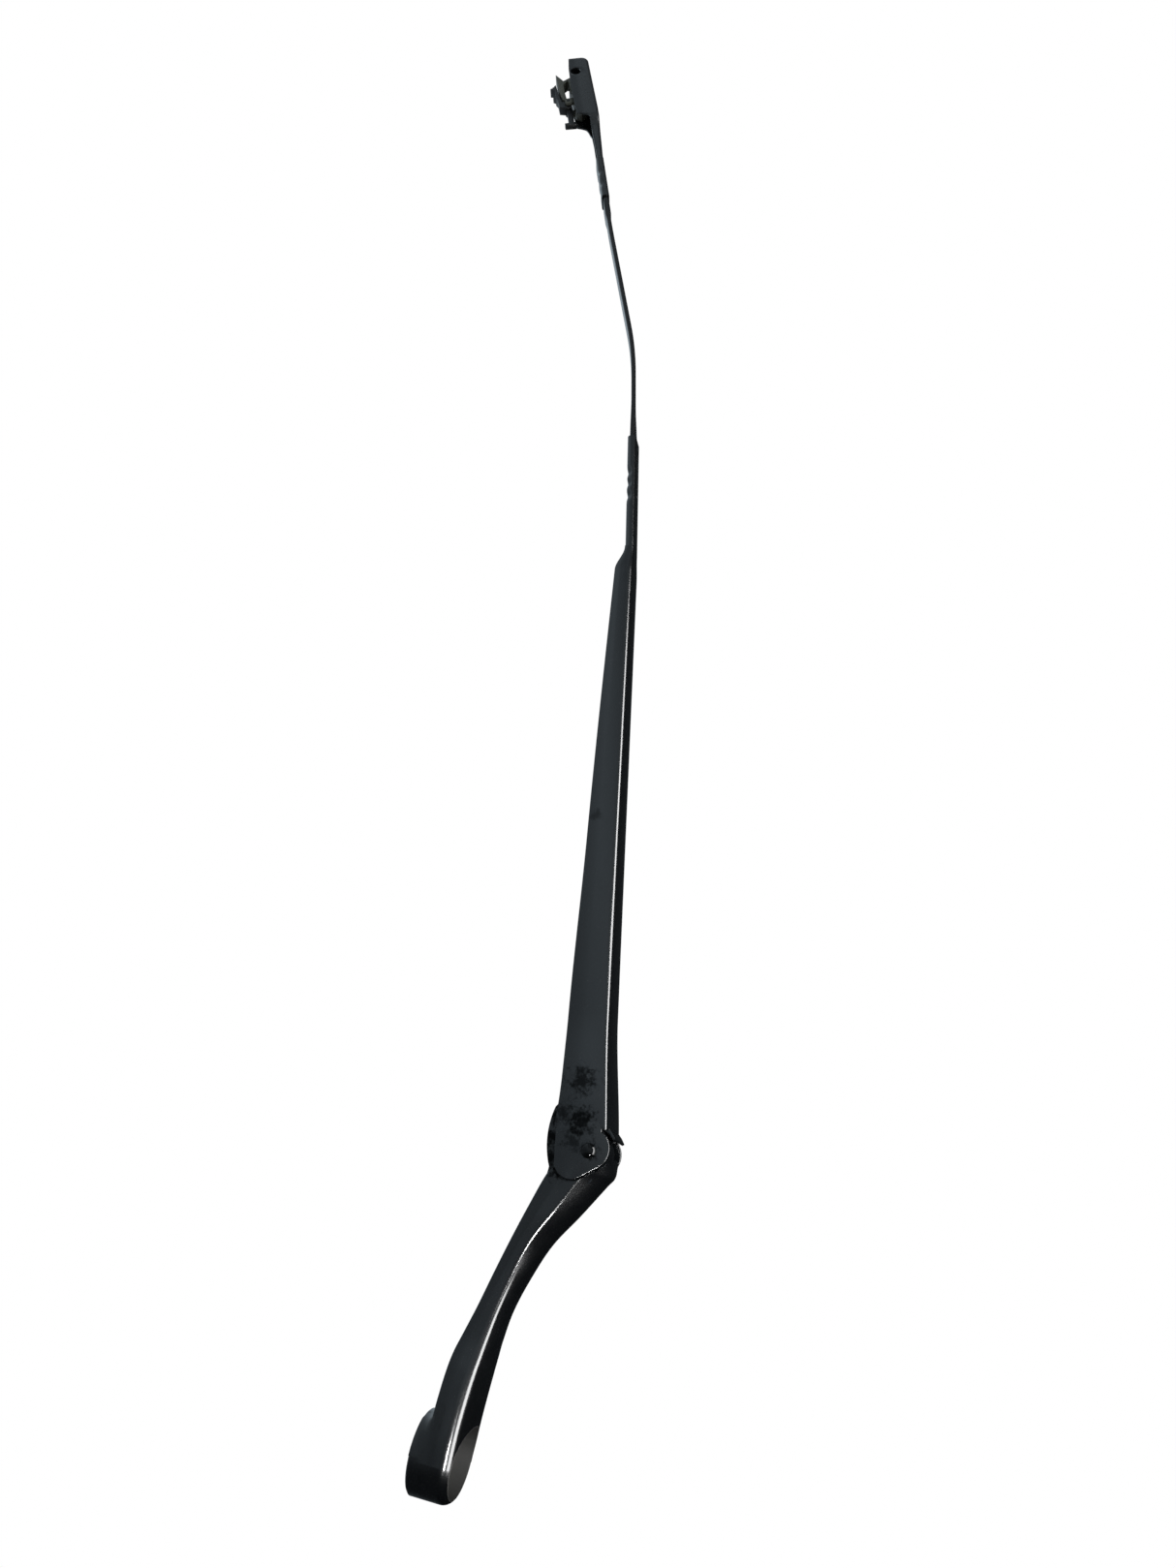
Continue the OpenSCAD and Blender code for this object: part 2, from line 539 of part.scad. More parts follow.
// Latch: lever under the adapter with finger ribs, a block on trunnions and a finger with a foot
module latch_body()
    polygon([[-14.3, -7.9], [-17.5, -11.4], [-18.6, -8.8], [-25.2, -9], [-27, -7.9], [-32.8, -7.6],
             [-34, -3.4], [-34, -0.6], [-29.2, -1.4], [-29, -5.6], [-27.5, -6.3], [-21.2, -7.1],
             [-17, -7.6]]);
module latch_rib() polygon([[-20.5, -8.5], [-23.8, -10.4], [-25.4, -8.6]]);
module latch_finger()
    polygon([[-33.5, -0.6], [-33.5, -3.6], [-40.5, -3.6], [-45, -3.6], [-45.2, -5.8], [-46.8, -5.6],
             [-47, 0.6], [-45.4, 0.8], [-44.6, -0.5]]);
finger_w = 3;
rib_w = 2.8;
module release_latch() color("#1c1f20") at_tip() {
    at_mouth() {
        slab(2 * latch_hw) latch_body();
        slab(finger_w) latch_finger();
        slab(rib_w) latch_rib();
    }
    at_latch_pivot() cross_pin(latch_pin_r, 2 * (latch_hw + gap + cheek_w));
}

mounting_head();
spring_anchor_pin();
hinge_bush_near();
hinge_bush_far();
channel();
hinge_rivet();
rod();
tip_holder();
adapter_pin();
tension_spring();
spring_link();
blade_adapter();
release_latch();
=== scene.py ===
"""Looks of the wiper arm: its pieces as smooth metal and plastic, their finishes, the light and the camera.

Sizes are in millimetres and become metres when a piece is made. Its points are set in one of four places:
HEAD at the nut seat, ARM at the hinge, TAIL at the channel's tail and TIP at the mouth of the blade end's
sleeve.
"""

import math

import bmesh
import bpy
from mathutils import Euler, Matrix, Vector


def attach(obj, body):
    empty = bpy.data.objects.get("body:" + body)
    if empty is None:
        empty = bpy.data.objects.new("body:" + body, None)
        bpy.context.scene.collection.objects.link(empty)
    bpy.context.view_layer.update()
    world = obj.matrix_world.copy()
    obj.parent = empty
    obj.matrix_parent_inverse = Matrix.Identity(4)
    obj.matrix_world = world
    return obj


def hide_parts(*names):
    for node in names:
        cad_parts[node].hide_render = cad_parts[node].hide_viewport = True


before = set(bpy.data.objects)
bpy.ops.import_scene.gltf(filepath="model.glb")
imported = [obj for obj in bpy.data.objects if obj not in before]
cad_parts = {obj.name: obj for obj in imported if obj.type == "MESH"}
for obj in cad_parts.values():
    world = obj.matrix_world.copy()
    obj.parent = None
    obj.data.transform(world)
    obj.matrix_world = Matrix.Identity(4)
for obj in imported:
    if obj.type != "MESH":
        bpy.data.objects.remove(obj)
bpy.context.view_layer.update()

MM = 0.001

# Head: round boss with the nut recess, then the arm's waist
BOSS_R = 13.7
BOSS_DROP = 8.9
SHOULDER_Z = 4.2
RECESS_R = 11.7
STUD_R = 4.2
SEAT_T = 2.5
TAPER_R = 6.2
WAIST_W = 19.6
WAIST_D = 8.3
CAST_WALL = 3.4
BAY_HW = 4.6

# Hinge: its place in the head's frame, the arm's pitch, the rivet, its bushes and the spring's anchor
HINGE_X = 108.2
HINGE_Z = 30.0
HINGE_W = 24.4
PITCH = 9.4
RIVET_R = 2.0
RIVET_HEAD_R = 2.7
RIVET_CROWN = 1.55
BUSH_R = 3.35
ANCHOR_R = 2.0
ANCHOR = (-4.92, -6.05)

# Channel: sheet, web, ears and the step down to the tail
SHEET = 1.3
WEB_H = 4.7
WEB_END_X = 7.6
HEEL_H = 1.8
HEEL_CROWN = 0.9
CHANNEL_W = 20.0
STEP_X = 262.0
STEP_W = 14.4
STEP_RUN = 13.0
EAR_D = 12.6
EAR_TOP = (0.9, 7.6)
EAR_LOW = (-3.9, 6.3)
POCKET_GAP = 0.7
LUG_HW = HINGE_W / 2 - SHEET - 1

# Rod, and how its ends are held
ROD_W = 8.0
ROD_T = 2.2
ROD_FREE = 161.0
ROD_TWIST = 10.0
ROD_CLIMB = 2.18
ROD_LEAVE = -2.3
ROD_BEND = 8.4
ROD_BACK = 1.5
SWAGE = 0.9
CRIMP_FIT = 0.05
CRIMP_WALL = 0.85
VOID_HW = ROD_W / 2 + CRIMP_FIT
VOID_T = ROD_T / 2 + CRIMP_FIT
TAIL_LEN = 62.0
TAIL_TILT = 1.4
TAIL_HW = VOID_HW + SHEET
TAIL_T = VOID_T + CRIMP_WALL
TAIL_Z = WEB_H - 0.13 - TAIL_T

# Blade end: sleeve, neck and open box
TIP_SHEET = 0.9
SLEEVE_LEN = 29.0
NECK_LEN = 33.0
BOX_LEN = 46.0
BOX_W = 14.0
BOX_D = 12.7
BOX_LIP_R = 2.5
TIP_HW = VOID_HW + TIP_SHEET
TIP_T = VOID_T + TIP_SHEET
BOX_X = SLEEVE_LEN + NECK_LEN
BOX_END = BOX_X + BOX_LEN
DEEP = TIP_T + 0.65 - BOX_D

# Spring, its hook's hole in the rod, and the reach of its link
SPRING_OD = 9.2
WIRE_D = 1.9
TURNS = 32
HOOK_X = 118.0
HOOK_EDGE = 3.4
LINK_EYE = 24.0


# Places and curves
def turn_y(degrees):
    return Matrix.Rotation(math.radians(degrees), 4, "Y")


def move(x, y, z):
    return Matrix.Translation((x, y, z))


def across(x, z, place):
    """Place whose z axis runs across the arm, at x and z of another place."""
    return place @ move(x, 0, z) @ Matrix.Rotation(math.radians(-90), 4, "X")


def ease(t):
    t = min(max(t, 0.0), 1.0)
    return t * t * (3 - 2 * t)


def mix(a, b, t):
    return a + (b - a) * t


def between(x, rows):
    """Value at x of a line through (x, value) rows."""
    if x <= rows[0][0]:
        return rows[0][1]
    for (x0, v0), (x1, v1) in zip(rows, rows[1:]):
        if x <= x1:
            return mix(v0, v1, (x - x0) / (x1 - x0))
    return rows[-1][1]


def arc(cx, cy, r, a0, a1, steps):
    turns = [math.radians(mix(a0, a1, i / steps)) for i in range(steps + 1)]
    return [(cx + r * math.cos(a), cy + r * math.sin(a)) for a in turns]


def curve_row(rows, s):
    """Row s of a smooth curve through the rows."""
    i = min(max(int(math.floor(s)), 0), len(rows) - 2)
    t = s - i
    row = []
    for p0, p1, p2, p3 in zip(rows[max(i - 1, 0)], rows[i], rows[i + 1], rows[min(i + 2, len(rows) - 1)]):
        bend = 2 * p0 - 5 * p1 + 4 * p2 - p3
        change = 3 * (p1 - p2) + p3 - p0
        row.append(p1 + 0.5 * t * (p2 - p0 + t * (bend + t * change)))
    return row


def spread(a, b, step):
    n = max(1, int(math.ceil((b - a) / step)))
    return [mix(a, b, i / n) for i in range(n + 1)]


HEAD = Matrix.Identity(4)
ARM = move(HINGE_X, 0, HINGE_Z) @ turn_y(PITCH)
TAIL = ARM @ move(STEP_X, 0, TAIL_Z) @ turn_y(TAIL_TILT)

# Heading of the rod in degrees, along its length from the channel's step
ROD_KNOTS = [(-12, ROD_CLIMB), (-2, -TAIL_TILT), (TAIL_LEN, -TAIL_TILT), (TAIL_LEN + 4, ROD_LEAVE),
             (TAIL_LEN + 0.24 * ROD_FREE, ROD_LEAVE), (TAIL_LEN + 0.43 * ROD_FREE, ROD_LEAVE - ROD_BEND),
             (TAIL_LEN + 0.82 * ROD_FREE, ROD_LEAVE - ROD_BEND),
             (TAIL_LEN + 0.9 * ROD_FREE, ROD_LEAVE - ROD_BEND + ROD_BACK)]
ROD_IN = STEP_X - HOOK_X + HOOK_EDGE
TIP_S = TAIL_LEN + ROD_FREE


def rod_route():
    """Rows of x and of z along the rod's middle, found by following its heading."""
    stops = [-ROD_IN] + [-12 + 2 * k for k in range(6)] + [0, TAIL_LEN]
    stops += [TAIL_LEN + k * ROD_FREE / 60 for k in range(1, 61)] + [TIP_S + SLEEVE_LEN - 1.5]
    x, z = [0.0], [0.0]
    for s0, s1 in zip(stops, stops[1:]):
        heading = math.radians(between((s0 + s1) / 2, ROD_KNOTS))
        x.append(x[-1] + (s1 - s0) * math.cos(heading))
        z.append(z[-1] + (s1 - s0) * math.sin(heading))
    zero = stops.index(0)
    return ([(s, v - x[zero] + STEP_X) for s, v in zip(stops, x)],
            [(s, v - z[zero] + TAIL_Z) for s, v in zip(stops, z)])


ROD_X, ROD_Z = rod_route()
TIP = ARM @ move(between(TIP_S, ROD_X), 0, between(TIP_S, ROD_Z)) @ turn_y(ROD_BEND - ROD_LEAVE - ROD_BACK)
TIP = TIP @ Matrix.Rotation(math.radians(ROD_TWIST), 4, "X")
HOOK_Z = ROD_Z[0][1] + HOOK_EDGE * math.sin(math.radians(ROD_CLIMB))


# Making pieces
def body_of(name, points, faces, place):
    """A new object from points in millimetres and faces, set at place."""
    mesh = bpy.data.meshes.new(name)
    mesh.from_pydata([(place @ Vector(p)) * MM for p in points], [], faces)
    edit = bmesh.new()
    edit.from_mesh(mesh)
    bmesh.ops.remove_doubles(edit, verts=edit.verts, dist=1e-7)
    bmesh.ops.recalc_face_normals(edit, faces=edit.faces)
    edit.to_mesh(mesh)
    edit.free()
    obj = bpy.data.objects.new(name, mesh)
    bpy.context.scene.collection.objects.link(obj)
    return obj


def skin(name, rings, place):
    """A closed skin over rings of points, with both ends closed."""
    n = len(rings[0])
    points = [p for ring in rings for p in ring]
    faces = [tuple(range(n))[::-1], tuple(range((len(rings) - 1) * n, len(rings) * n))]
    for i in range(len(rings) - 1):
        for j in range(n):
            k = (j + 1) % n
            faces.append((i * n + j, i * n + k, (i + 1) * n + k, (i + 1) * n + j))
    return body_of(name, points, faces, place)


def plate(name, outline, y0, y1, place):
    """A flat plate with its outline in x and z."""
    return skin(name, [[(x, y, z) for x, z in outline] for y in (y0, y1)], place)


def turned(name, profile, place, steps=96):
    """A turned piece from (radius, height) rows about its z axis."""
    turns = [2 * math.pi * k / steps for k in range(steps)]
    rings = []
    for r, h in profile:
        r = max(r, 1e-4)
        rings.append([(r * math.cos(a), r * math.sin(a), h) for a in turns])
    return skin(name, rings, place)


def across_cut(r, place):
    return turned("cut", [(r, -30), (r, 30)], place)


def settle(obj):
    """Turns the object's modifiers into its mesh."""
    bpy.context.view_layer.update()
    shaped = bpy.data.meshes.new_from_object(obj.evaluated_get(bpy.context.evaluated_depsgraph_get()))
    obj.modifiers.clear()
    old = obj.data
    obj.data = shaped
    bpy.data.meshes.remove(old)
    return obj


def carve(obj, tools, kind="DIFFERENCE"):
    """Cuts the tools out of obj, or adds them to it."""
    for tool in tools:
        step = obj.modifiers.new("carve", "BOOLEAN")
        step.operation = kind
        step.solver = "EXACT"
        step.object = tool
        settle(obj)
        bpy.data.objects.remove(tool)
    return obj


def round_edges(obj, width, steps, angle):
    """Rounds the edges that turn by more than an angle in degrees."""
    rim = obj.modifiers.new("rim", "BEVEL")
    rim.width = width * MM
    rim.segments = steps
    rim.limit_method = "ANGLE"
    rim.angle_limit = math.radians(angle)
    return settle(obj)


def merged(name, parts):
    """One object from several."""
    edit = bmesh.new()
    for part in parts:
        edit.from_mesh(part.data)
    mesh = bpy.data.meshes.new(name)
    edit.to_mesh(mesh)
    edit.free()
    for part in parts:
        bpy.data.objects.remove(part)
    obj = bpy.data.objects.new(name, mesh)
    bpy.context.scene.collection.objects.link(obj)
    return obj


def finish_piece(obj, finish, body, node, crease):
    """Shades and paints a piece and hangs it on its body in place of the CAD node."""
    obj.data.shade_smooth()
    obj.data.set_sharp_from_angle(angle=math.radians(crease))
    obj.data.materials.clear()
    obj.data.materials.append(finish)
    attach(obj, body)
    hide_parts(node)


# Finishes
# Sockets of the Mix node by number: its factor, two plain values, two colours, and the colour it gives
FACTOR, VALUE_A, VALUE_B, COLOUR_A, COLOUR_B, MIXED = 0, 2, 3, 6, 7, 2


def colour(hex_code):
    parts = [int(hex_code[i:i + 2], 16) / 255 for i in (1, 3, 5)]
    return [p / 12.92 if p <= 0.04045 else ((p + 0.055) / 1.055) ** 2.4 for p in parts] + [1.0]


def add(tree, kind, settings=None, links=None):
    """Adds a node: settings are its properties or input values, links say which sockets feed it."""
    node = tree.nodes.new("ShaderNode" + kind)
    for key, value in (settings or {}).items():
        if isinstance(key, str) and hasattr(node, key) and key not in node.inputs:
            setattr(node, key, value)
        else:
            node.inputs[key].default_value = value
    for key, source in (links or {}).items():
        tree.links.new(source, node.inputs[key])
    return node


def new_finish(name):
    """An empty material, its tree, and the object's own coordinates in it."""
    mat = bpy.data.materials.new(name)
    mat.use_nodes = True
    mat.node_tree.nodes.clear()
    return mat, mat.node_tree, add(mat.node_tree, "TexCoord").outputs["Object"]


def marked_and_shaded(tree, place, paint, marks_and_shade):
    """The paint under handling marks and painted shade, each with a ragged edge, and how far they dull it."""
    # The edge wanders over about 2.4 mm
    wobble = add(tree, "TexNoise", {"Scale": 420.0, "Detail": 6.0, "Roughness": 0.75}, {"Vector": place})
    dull = None
    for (x, y, z), radius, strength, mark_or_shade_hex in marks_and_shade:
        r = radius * MM
        away = add(tree, "VectorMath", {"operation": "DISTANCE", 1: (x * MM, y * MM, z * MM)}, {0: place})
        edge = add(tree, "Math", {"operation": "MULTIPLY_ADD", 1: 3.0 * r, 2: -1.35 * r},
                   {0: wobble.outputs["Fac"]})
        near = add(tree, "Math", {"operation": "ADD"}, {0: away.outputs["Value"], 1: edge.outputs[0]})
        fade = {"interpolation_type": "SMOOTHSTEP", "From Min": 0.3 * r, "From Max": r, "To Min": strength,
                "To Max": 0.0}
        cover = add(tree, "MapRange", fade, {"Value": near.outputs[0]}).outputs["Result"]
        blot_or_shade = {"data_type": "RGBA", COLOUR_B: colour(mark_or_shade_hex)}
        paint = add(tree, "Mix", blot_or_shade, {FACTOR: cover, COLOUR_A: paint}).outputs[MIXED]
        if dull:
            cover = add(tree, "Math", {"operation": "MAXIMUM"}, {0: dull, 1: cover}).outputs[0]
        dull = cover
    return paint, dull


def bare_seat(tree, place, paint, radius):
    """The paint with bare grimy zinc inside a radius round the spindle, and where that is."""
    flat = add(tree, "VectorMath", {"operation": "MULTIPLY", 1: (1.0, 1.0, 0.0)}, {0: place})
    from_axis = add(tree, "VectorMath", {"operation": "LENGTH"}, {0: flat.outputs["Vector"]})
    rim = {"From Min": (radius + 0.1) * MM, "From Max": (radius + 0.3) * MM, "To Min": 1.0, "To Max": 0.0}
    inside = add(tree, "MapRange", rim, {"Value": from_axis.outputs["Value"]}).outputs["Result"]
    grime = add(tree, "TexNoise", {"Scale": 180.0, "Detail": 5.0, "Roughness": 0.65}, {"Vector": place})
    zinc = add(tree, "Mix", {"data_type": "RGBA", COLOUR_A: colour("#2f2e29"), COLOUR_B: colour("#201f1c")},
               {FACTOR: grime.outputs["Fac"]})
    # Rust stain on the side of the recess that faces the hinge
    rust_at = add(tree, "VectorMath", {"operation": "DISTANCE", 1: (0.0115, -0.002, 0.005)}, {0: place})
    rust = add(tree, "MapRange", {"From Min": 0.003, "From Max": 0.009, "To Min": 0.85, "To Max": 0.0},
               {"Value": rust_at.outputs["Value"]})
    stained = add(tree, "Mix", {"data_type": "RGBA", COLOUR_B: colour("#1f1712")},
                  {FACTOR: rust.outputs["Result"], COLOUR_A: zinc.outputs[MIXED]})
    bared = add(tree, "Mix", {"data_type": "RGBA"}, {FACTOR: inside, COLOUR_A: paint,
                                                     COLOUR_B: stained.outputs[MIXED]})
    return bared.outputs[MIXED], inside


def black_coat(name, deep, pale, rough, grain, marks_and_shade=(), seat=None, shine=0.5):
    """Black paint over steel or zinc: two close shades that drift, orange peel, dust, handling marks and
    painted shade.
    """
    mat, tree, place = new_finish(name)
    # Slow drift of the coat over about 25 mm
    drift = add(tree, "TexNoise", {"Scale": 40.0, "Detail": 3.0, "Roughness": 0.6}, {"Vector": place})
    # Dust specks about 0.4 mm across, thinly spread
    specks = add(tree, "TexNoise", {"Scale": 2400.0, "Detail": 2.0, "Roughness": 0.7}, {"Vector": place})
    dust = add(tree, "MapRange", {"From Min": 0.66, "From Max": 0.8, "To Max": 0.25},
               {"Value": specks.outputs["Fac"]})
    shade = add(tree, "Mix", {"data_type": "RGBA", COLOUR_A: colour(deep), COLOUR_B: colour(pale)},
                {FACTOR: drift.outputs["Fac"]})
    tone = add(tree, "Mix", {"data_type": "RGBA", COLOUR_B: colour("#8d8f8c")},
               {FACTOR: dust.outputs["Result"], COLOUR_A: shade.outputs[MIXED]})
    paint, dull = tone.outputs[MIXED], None
    if marks_and_shade:
        paint, dull = marked_and_shaded(tree, place, paint, marks_and_shade)
    wear = add(tree, "TexNoise", {"Scale": 160.0, "Detail": 4.0, "Roughness": 0.7}, {"Vector": place})
    matt = add(tree, "MapRange", {"From Min": 0.3, "From Max": 0.75, "To Min": rough, "To Max": rough + 0.07},
               {"Value": wear.outputs["Fac"]})
    gloss = matt.outputs["Result"]
    if seat:
        paint, inside = bare_seat(tree, place, paint, seat)
        dry = {"data_type": "FLOAT", VALUE_B: 0.6}
        gloss = add(tree, "Mix", dry, {FACTOR: inside, VALUE_A: gloss}).outputs[0]
    # Orange peel of the coat, as wide as the grain in millimetres
    peel = add(tree, "TexNoise", {"Scale": 1000.0 / grain, "Detail": 2.0, "Roughness": 0.5},
               {"Vector": place})
    bump = add(tree, "Bump", {"Strength": 0.004, "Distance": 0.0002}, {"Height": peel.outputs["Fac"]})
    coat = add(tree, "BsdfPrincipled", {"IOR": 1.5, "Specular IOR Level": shine},
               {"Base Color": paint, "Roughness": gloss, "Normal": bump.outputs["Normal"]})
    if dull:
        faded = add(tree, "MapRange", {"To Min": shine, "To Max": 0.06}, {"Value": dull})
        tree.links.new(faded.outputs["Result"], coat.inputs["Specular IOR Level"])
    add(tree, "OutputMaterial", {}, {"Surface": coat.outputs["BSDF"]})
    return mat


def bare_steel(name, dark, light, rough, lines):
    """Bright or blackened steel: drawn lines along the piece and a little tarnish."""
    mat, tree, place = new_finish(name)
    tarnish = add(tree, "TexNoise", {"Scale": 220.0, "Detail": 4.0, "Roughness": 0.6}, {"Vector": place})
    shade = add(tree, "Mix", {"data_type": "RGBA", COLOUR_A: colour(dark), COLOUR_B: colour(light)},
                {FACTOR: tarnish.outputs["Fac"]})
    stretch = add(tree, "Mapping", {"Scale": (1.0, 12.0, 12.0)}, {"Vector": place})
    drawn = add(tree, "TexNoise", {"Scale": 1000.0 / lines, "Detail": 2.0},
                {"Vector": stretch.outputs["Vector"]})
    matt = add(tree, "MapRange", {"To Min": rough, "To Max": rough + 0.15}, {"Value": drawn.outputs["Fac"]})
    bump = add(tree, "Bump", {"Strength": 0.12, "Distance": 0.0001}, {"Height": drawn.outputs["Fac"]})
    metal = add(tree, "BsdfPrincipled", {"Metallic": 1.0}, {
        "Base Color": shade.outputs[MIXED], "Roughness": matt.outputs["Result"],
        "Normal": bump.outputs["Normal"]})
    add(tree, "OutputMaterial", {}, {"Surface": metal.outputs["BSDF"]})
    return mat


def moulded(name, dark, light, rough, spark):
    """Moulded plastic with a spark-eroded grain and a slight cloudiness."""
    mat, tree, place = new_finish(name)
    cloud = add(tree, "TexNoise", {"Scale": 120.0, "Detail": 3.0, "Roughness": 0.55}, {"Vector": place})
    shade = add(tree, "Mix", {"data_type": "RGBA", COLOUR_A: colour(dark), COLOUR_B: colour(light)},
                {FACTOR: cloud.outputs["Fac"]})
    grain = add(tree, "TexVoronoi", {"Scale": 1000.0 / spark}, {"Vector": place})
    matt = add(tree, "MapRange", {"To Min": rough, "To Max": rough + 0.1}, {"Value": cloud.outputs["Fac"]})
    bump = add(tree, "Bump", {"Strength": 0.15, "Distance": 0.00005}, {"Height": grain.outputs["Distance"]})
    resin = add(tree, "BsdfPrincipled", {"IOR": 1.49}, {
        "Base Color": shade.outputs[MIXED], "Roughness": matt.outputs["Result"],
        "Normal": bump.outputs["Normal"]})
    add(tree, "OutputMaterial", {}, {"Surface": resin.outputs["BSDF"]})
    return mat


def on_arm(x, y, z):
    p = ARM @ Vector((x, y, z))
    return p.x, p.y, p.z


# Marks and painted shade in the paint: place, radius, strength and colour
# Painted shade: near-black patches on the lug along the ears' lower rims, where it lies in the ears' shadow
PAINTED_HINGE_SHADE = [(on_arm(x, 10, z), 6.0, 1.0, "#020202")
               for x, z in ((-7, -10.5), (-2, -14), (5, -15.5), (12, -15.5), (18, -14))]
# Handling marks, and at the rivet a near-black painted shadow ring round its head
HAND_MARKS_AND_RIVET_SHADE = [(on_arm(25, 11.5, -4), 8.5, 0.9, "#060708"), (on_arm(10, 12, -4), 8.5, 1.0, "#050607"),
              (on_arm(13, 12, -10), 6.0, 0.8, "#060708"), (on_arm(3, 12, -6.5), 5.0, 0.7, "#060708"),
              (on_arm(0, 12.2, 0), 5.2, 1.0, "#020303"), (on_arm(131, 9, -5), 4.0, 0.5, "#0a0c0d")]

# Die-cast zinc alloy, powder coated: an even satin black with a faint blue cast, with painted shade along the
# ears' lower rims
cast_black = black_coat("die_cast_zinc_black_powder_coat", "#0b0d0f", "#14171a", 0.17, 0.9,
                        marks_and_shade=PAINTED_HINGE_SHADE, seat=RECESS_R)
# Cold pressed steel, black electrophoretic coat: smoother, with marks of handling near the hinge and a
# painted shadow ring round the rivet's head
sheet_black = black_coat("pressed_steel_black_coat", "#0c0e10", "#15191c", 0.17, 0.8, marks_and_shade=HAND_MARKS_AND_RIVET_SHADE)
# Spring-steel bar, thinly coated: a duller black
rod_black = black_coat("spring_steel_bar_black_coat", "#0c0d0e", "#161718", 0.24, 0.5, shine=0.3)
# Stamped steel, dull black coat
tip_black = black_coat("stamped_steel_black_coat", "#121416", "#1d2022", 0.25, 0.5, shine=0.45)
# Headed steel rivet, dipped black: small and glossy
rivet_black = black_coat("rivet_steel_black_coat", "#050606", "#0a0b0c", 0.07, 0.5, shine=0.22)
# Hidden steels: a bright turned pin, an oiled spring wire and a plated link
pin_steel = bare_steel("turned_steel_pin", "#8b8d8d", "#a7a9a8", 0.3, 0.6)
spring_steel = bare_steel("blackened_spring_wire", "#4a4e50", "#666a6c", 0.35, 0.8)
link_steel = bare_steel("zinc_plated_link_steel", "#8f949a", "#b2b6b8", 0.32, 0.8)
# Mouldings: natural acetal, grey-green weathered nylon and black nylon
bush_plastic = moulded("moulded_acetal_bush", "#d2cdbd", "#dedacb", 0.42, 0.4)
adapter_plastic = moulded("moulded_nylon_adapter", "#464840", "#54564e", 0.5, 0.35)
latch_plastic = moulded("moulded_black_nylon_latch", "#08090a", "#101112", 0.4, 0.35)


# Head casting
# Stations: place, width, depth and rise as shares, then the crown, its power and the shoulder's radius
HEAD_STATIONS = (
    (-0.01, 0, 0.33, 0.1, 1.6, 2.2, 4.2),
    (0.09, 0, 0.33, 0.1, 1.7, 2.2, 4.2),
    (0.18, 0.12, 0.35, 0.115, 1.9, 2.2, 4.2),
    (0.26, 0.36, 0.36, 0.135, 2.2, 2.2, 4.0),
    (0.315, 0.62, 0.33, 0.155, 2.2, 2.2, 3.7),
    (0.37, 0.84, 0.21, 0.178, 2.1, 2.2, 3.4),
    (0.46, 1, 0.05, 0.235, 2.1, 2.2, 3.0),
    (0.57, 1, 0.03, 0.35, 3.3, 2.2, 2.8),
    (0.685, 1.35, 0.1, 0.515, 4.6, 2.2, 2.8),
    (0.795, 1.8, 0.45, 0.775, 6.0, 2.2, 2.8),
    (0.9, 2, 0.73, 1.015, 7.2, 2.4, 2.8),
    (0.938, 2, 0.8, 1.155, 5.8, 2.5, 2.6),
    (0.975, 2, 0.85, 1.255, 2.2, 2.6, 2.2),
    (1.0166, 2, 0.9, 1.27, 1.0, 2.6, 2.0),
    (1.049, 2, 0.9, 1.2, 0.8, 2.6, 2.0),
)
WALL_R = BOSS_R + 0.02


def head_row(at, width, depth, rise, crown, power, shoulder):
    """A station in millimetres: its width goes from the boss to the waist, and on to the hinge."""
    half = mix(WALL_R, WAIST_W / 2, width) if width < 1 else mix(WAIST_W / 2, HINGE_W / 2, width - 1)
    top = SHOULDER_Z + (HINGE_Z - SHOULDER_Z) * rise
    return at * HINGE_X, half, WAIST_D * (1 + depth * 0.95), top, crown, power, shoulder


HEAD_ROWS = [head_row(*station) for station in HEAD_STATIONS]


def shoulder_half(w, z1, crown, power, r):
    """Half outline of a shoulder that rolls into a crown with no kink, and the height of the crown."""
    roll = 90 - math.degrees(math.atan(power * crown / (w - 0.7 * r)))
    rolled = arc(w - r, z1 - r, r, 0, roll, 10)
    edge_y, edge_z = rolled[-1]
    shares = (0.95, 0.9, 0.84, 0.78, 0.7, 0.6, 0.5, 0.36, 0.18)
    return rolled + [(edge_y * y, edge_z + crown * (1 - y ** power)) for y in shares], edge_z + crown


def mirrored_ring(x, half, middle=()):
    """Section at x from its half outline in y and z, and the points on its middle line."""
    return ([(x, y, z) for y, z in half] + [(x, 0, z) for z in middle]
            + [(x, -y, z) for y, z in reversed(half)])


def head_ring(row):
    x, w, depth, z1, crown, power, shoulder = row
    z0 = z1 - depth
    wall = [(w - 1, z0), (w - 0.3, z0 + 0.3), (w, z0 + 1), (w, mix(z0 + 1, z1 - shoulder, 0.5))]
    rolled, top = shoulder_half(w, z1, crown, power, shoulder)
    return mirrored_ring(x, wall + rolled, [top])


def blend_ring(x):
    """Section of the web of metal between the arm's side walls and the round boss."""
    ring_y = math.sqrt(max(WALL_R ** 2 - x * x, 0.01))
    foot = mix(-BOSS_DROP, -4.0, ease((x - 11) / 6))
    flare = [(mix(WALL_R, ring_y, ease(t)), mix(-3.0, foot, t)) for t in (0.2, 0.4, 0.6, 0.8, 1.0)]
    return mirrored_ring(x, [(WALL_R, 0.0), (WALL_R, -3.0)] + flare)


def turned_boss():
    """The round boss, whose rim lies a hair inside the arm's own shoulder, so that the arm's face shows."""
    hair = 0.06
    rim = [(1e-4, -BOSS_DROP), (BOSS_R - 0.5, -BOSS_DROP), (BOSS_R, 0.5 - BOSS_DROP)]
    rolled, top = shoulder_half(BOSS_R - hair, HEAD_ROWS[0][3] - hair, *HEAD_ROWS[0][4:])
    return turned("boss", rim + rolled + [(0, top)], HEAD, 128)


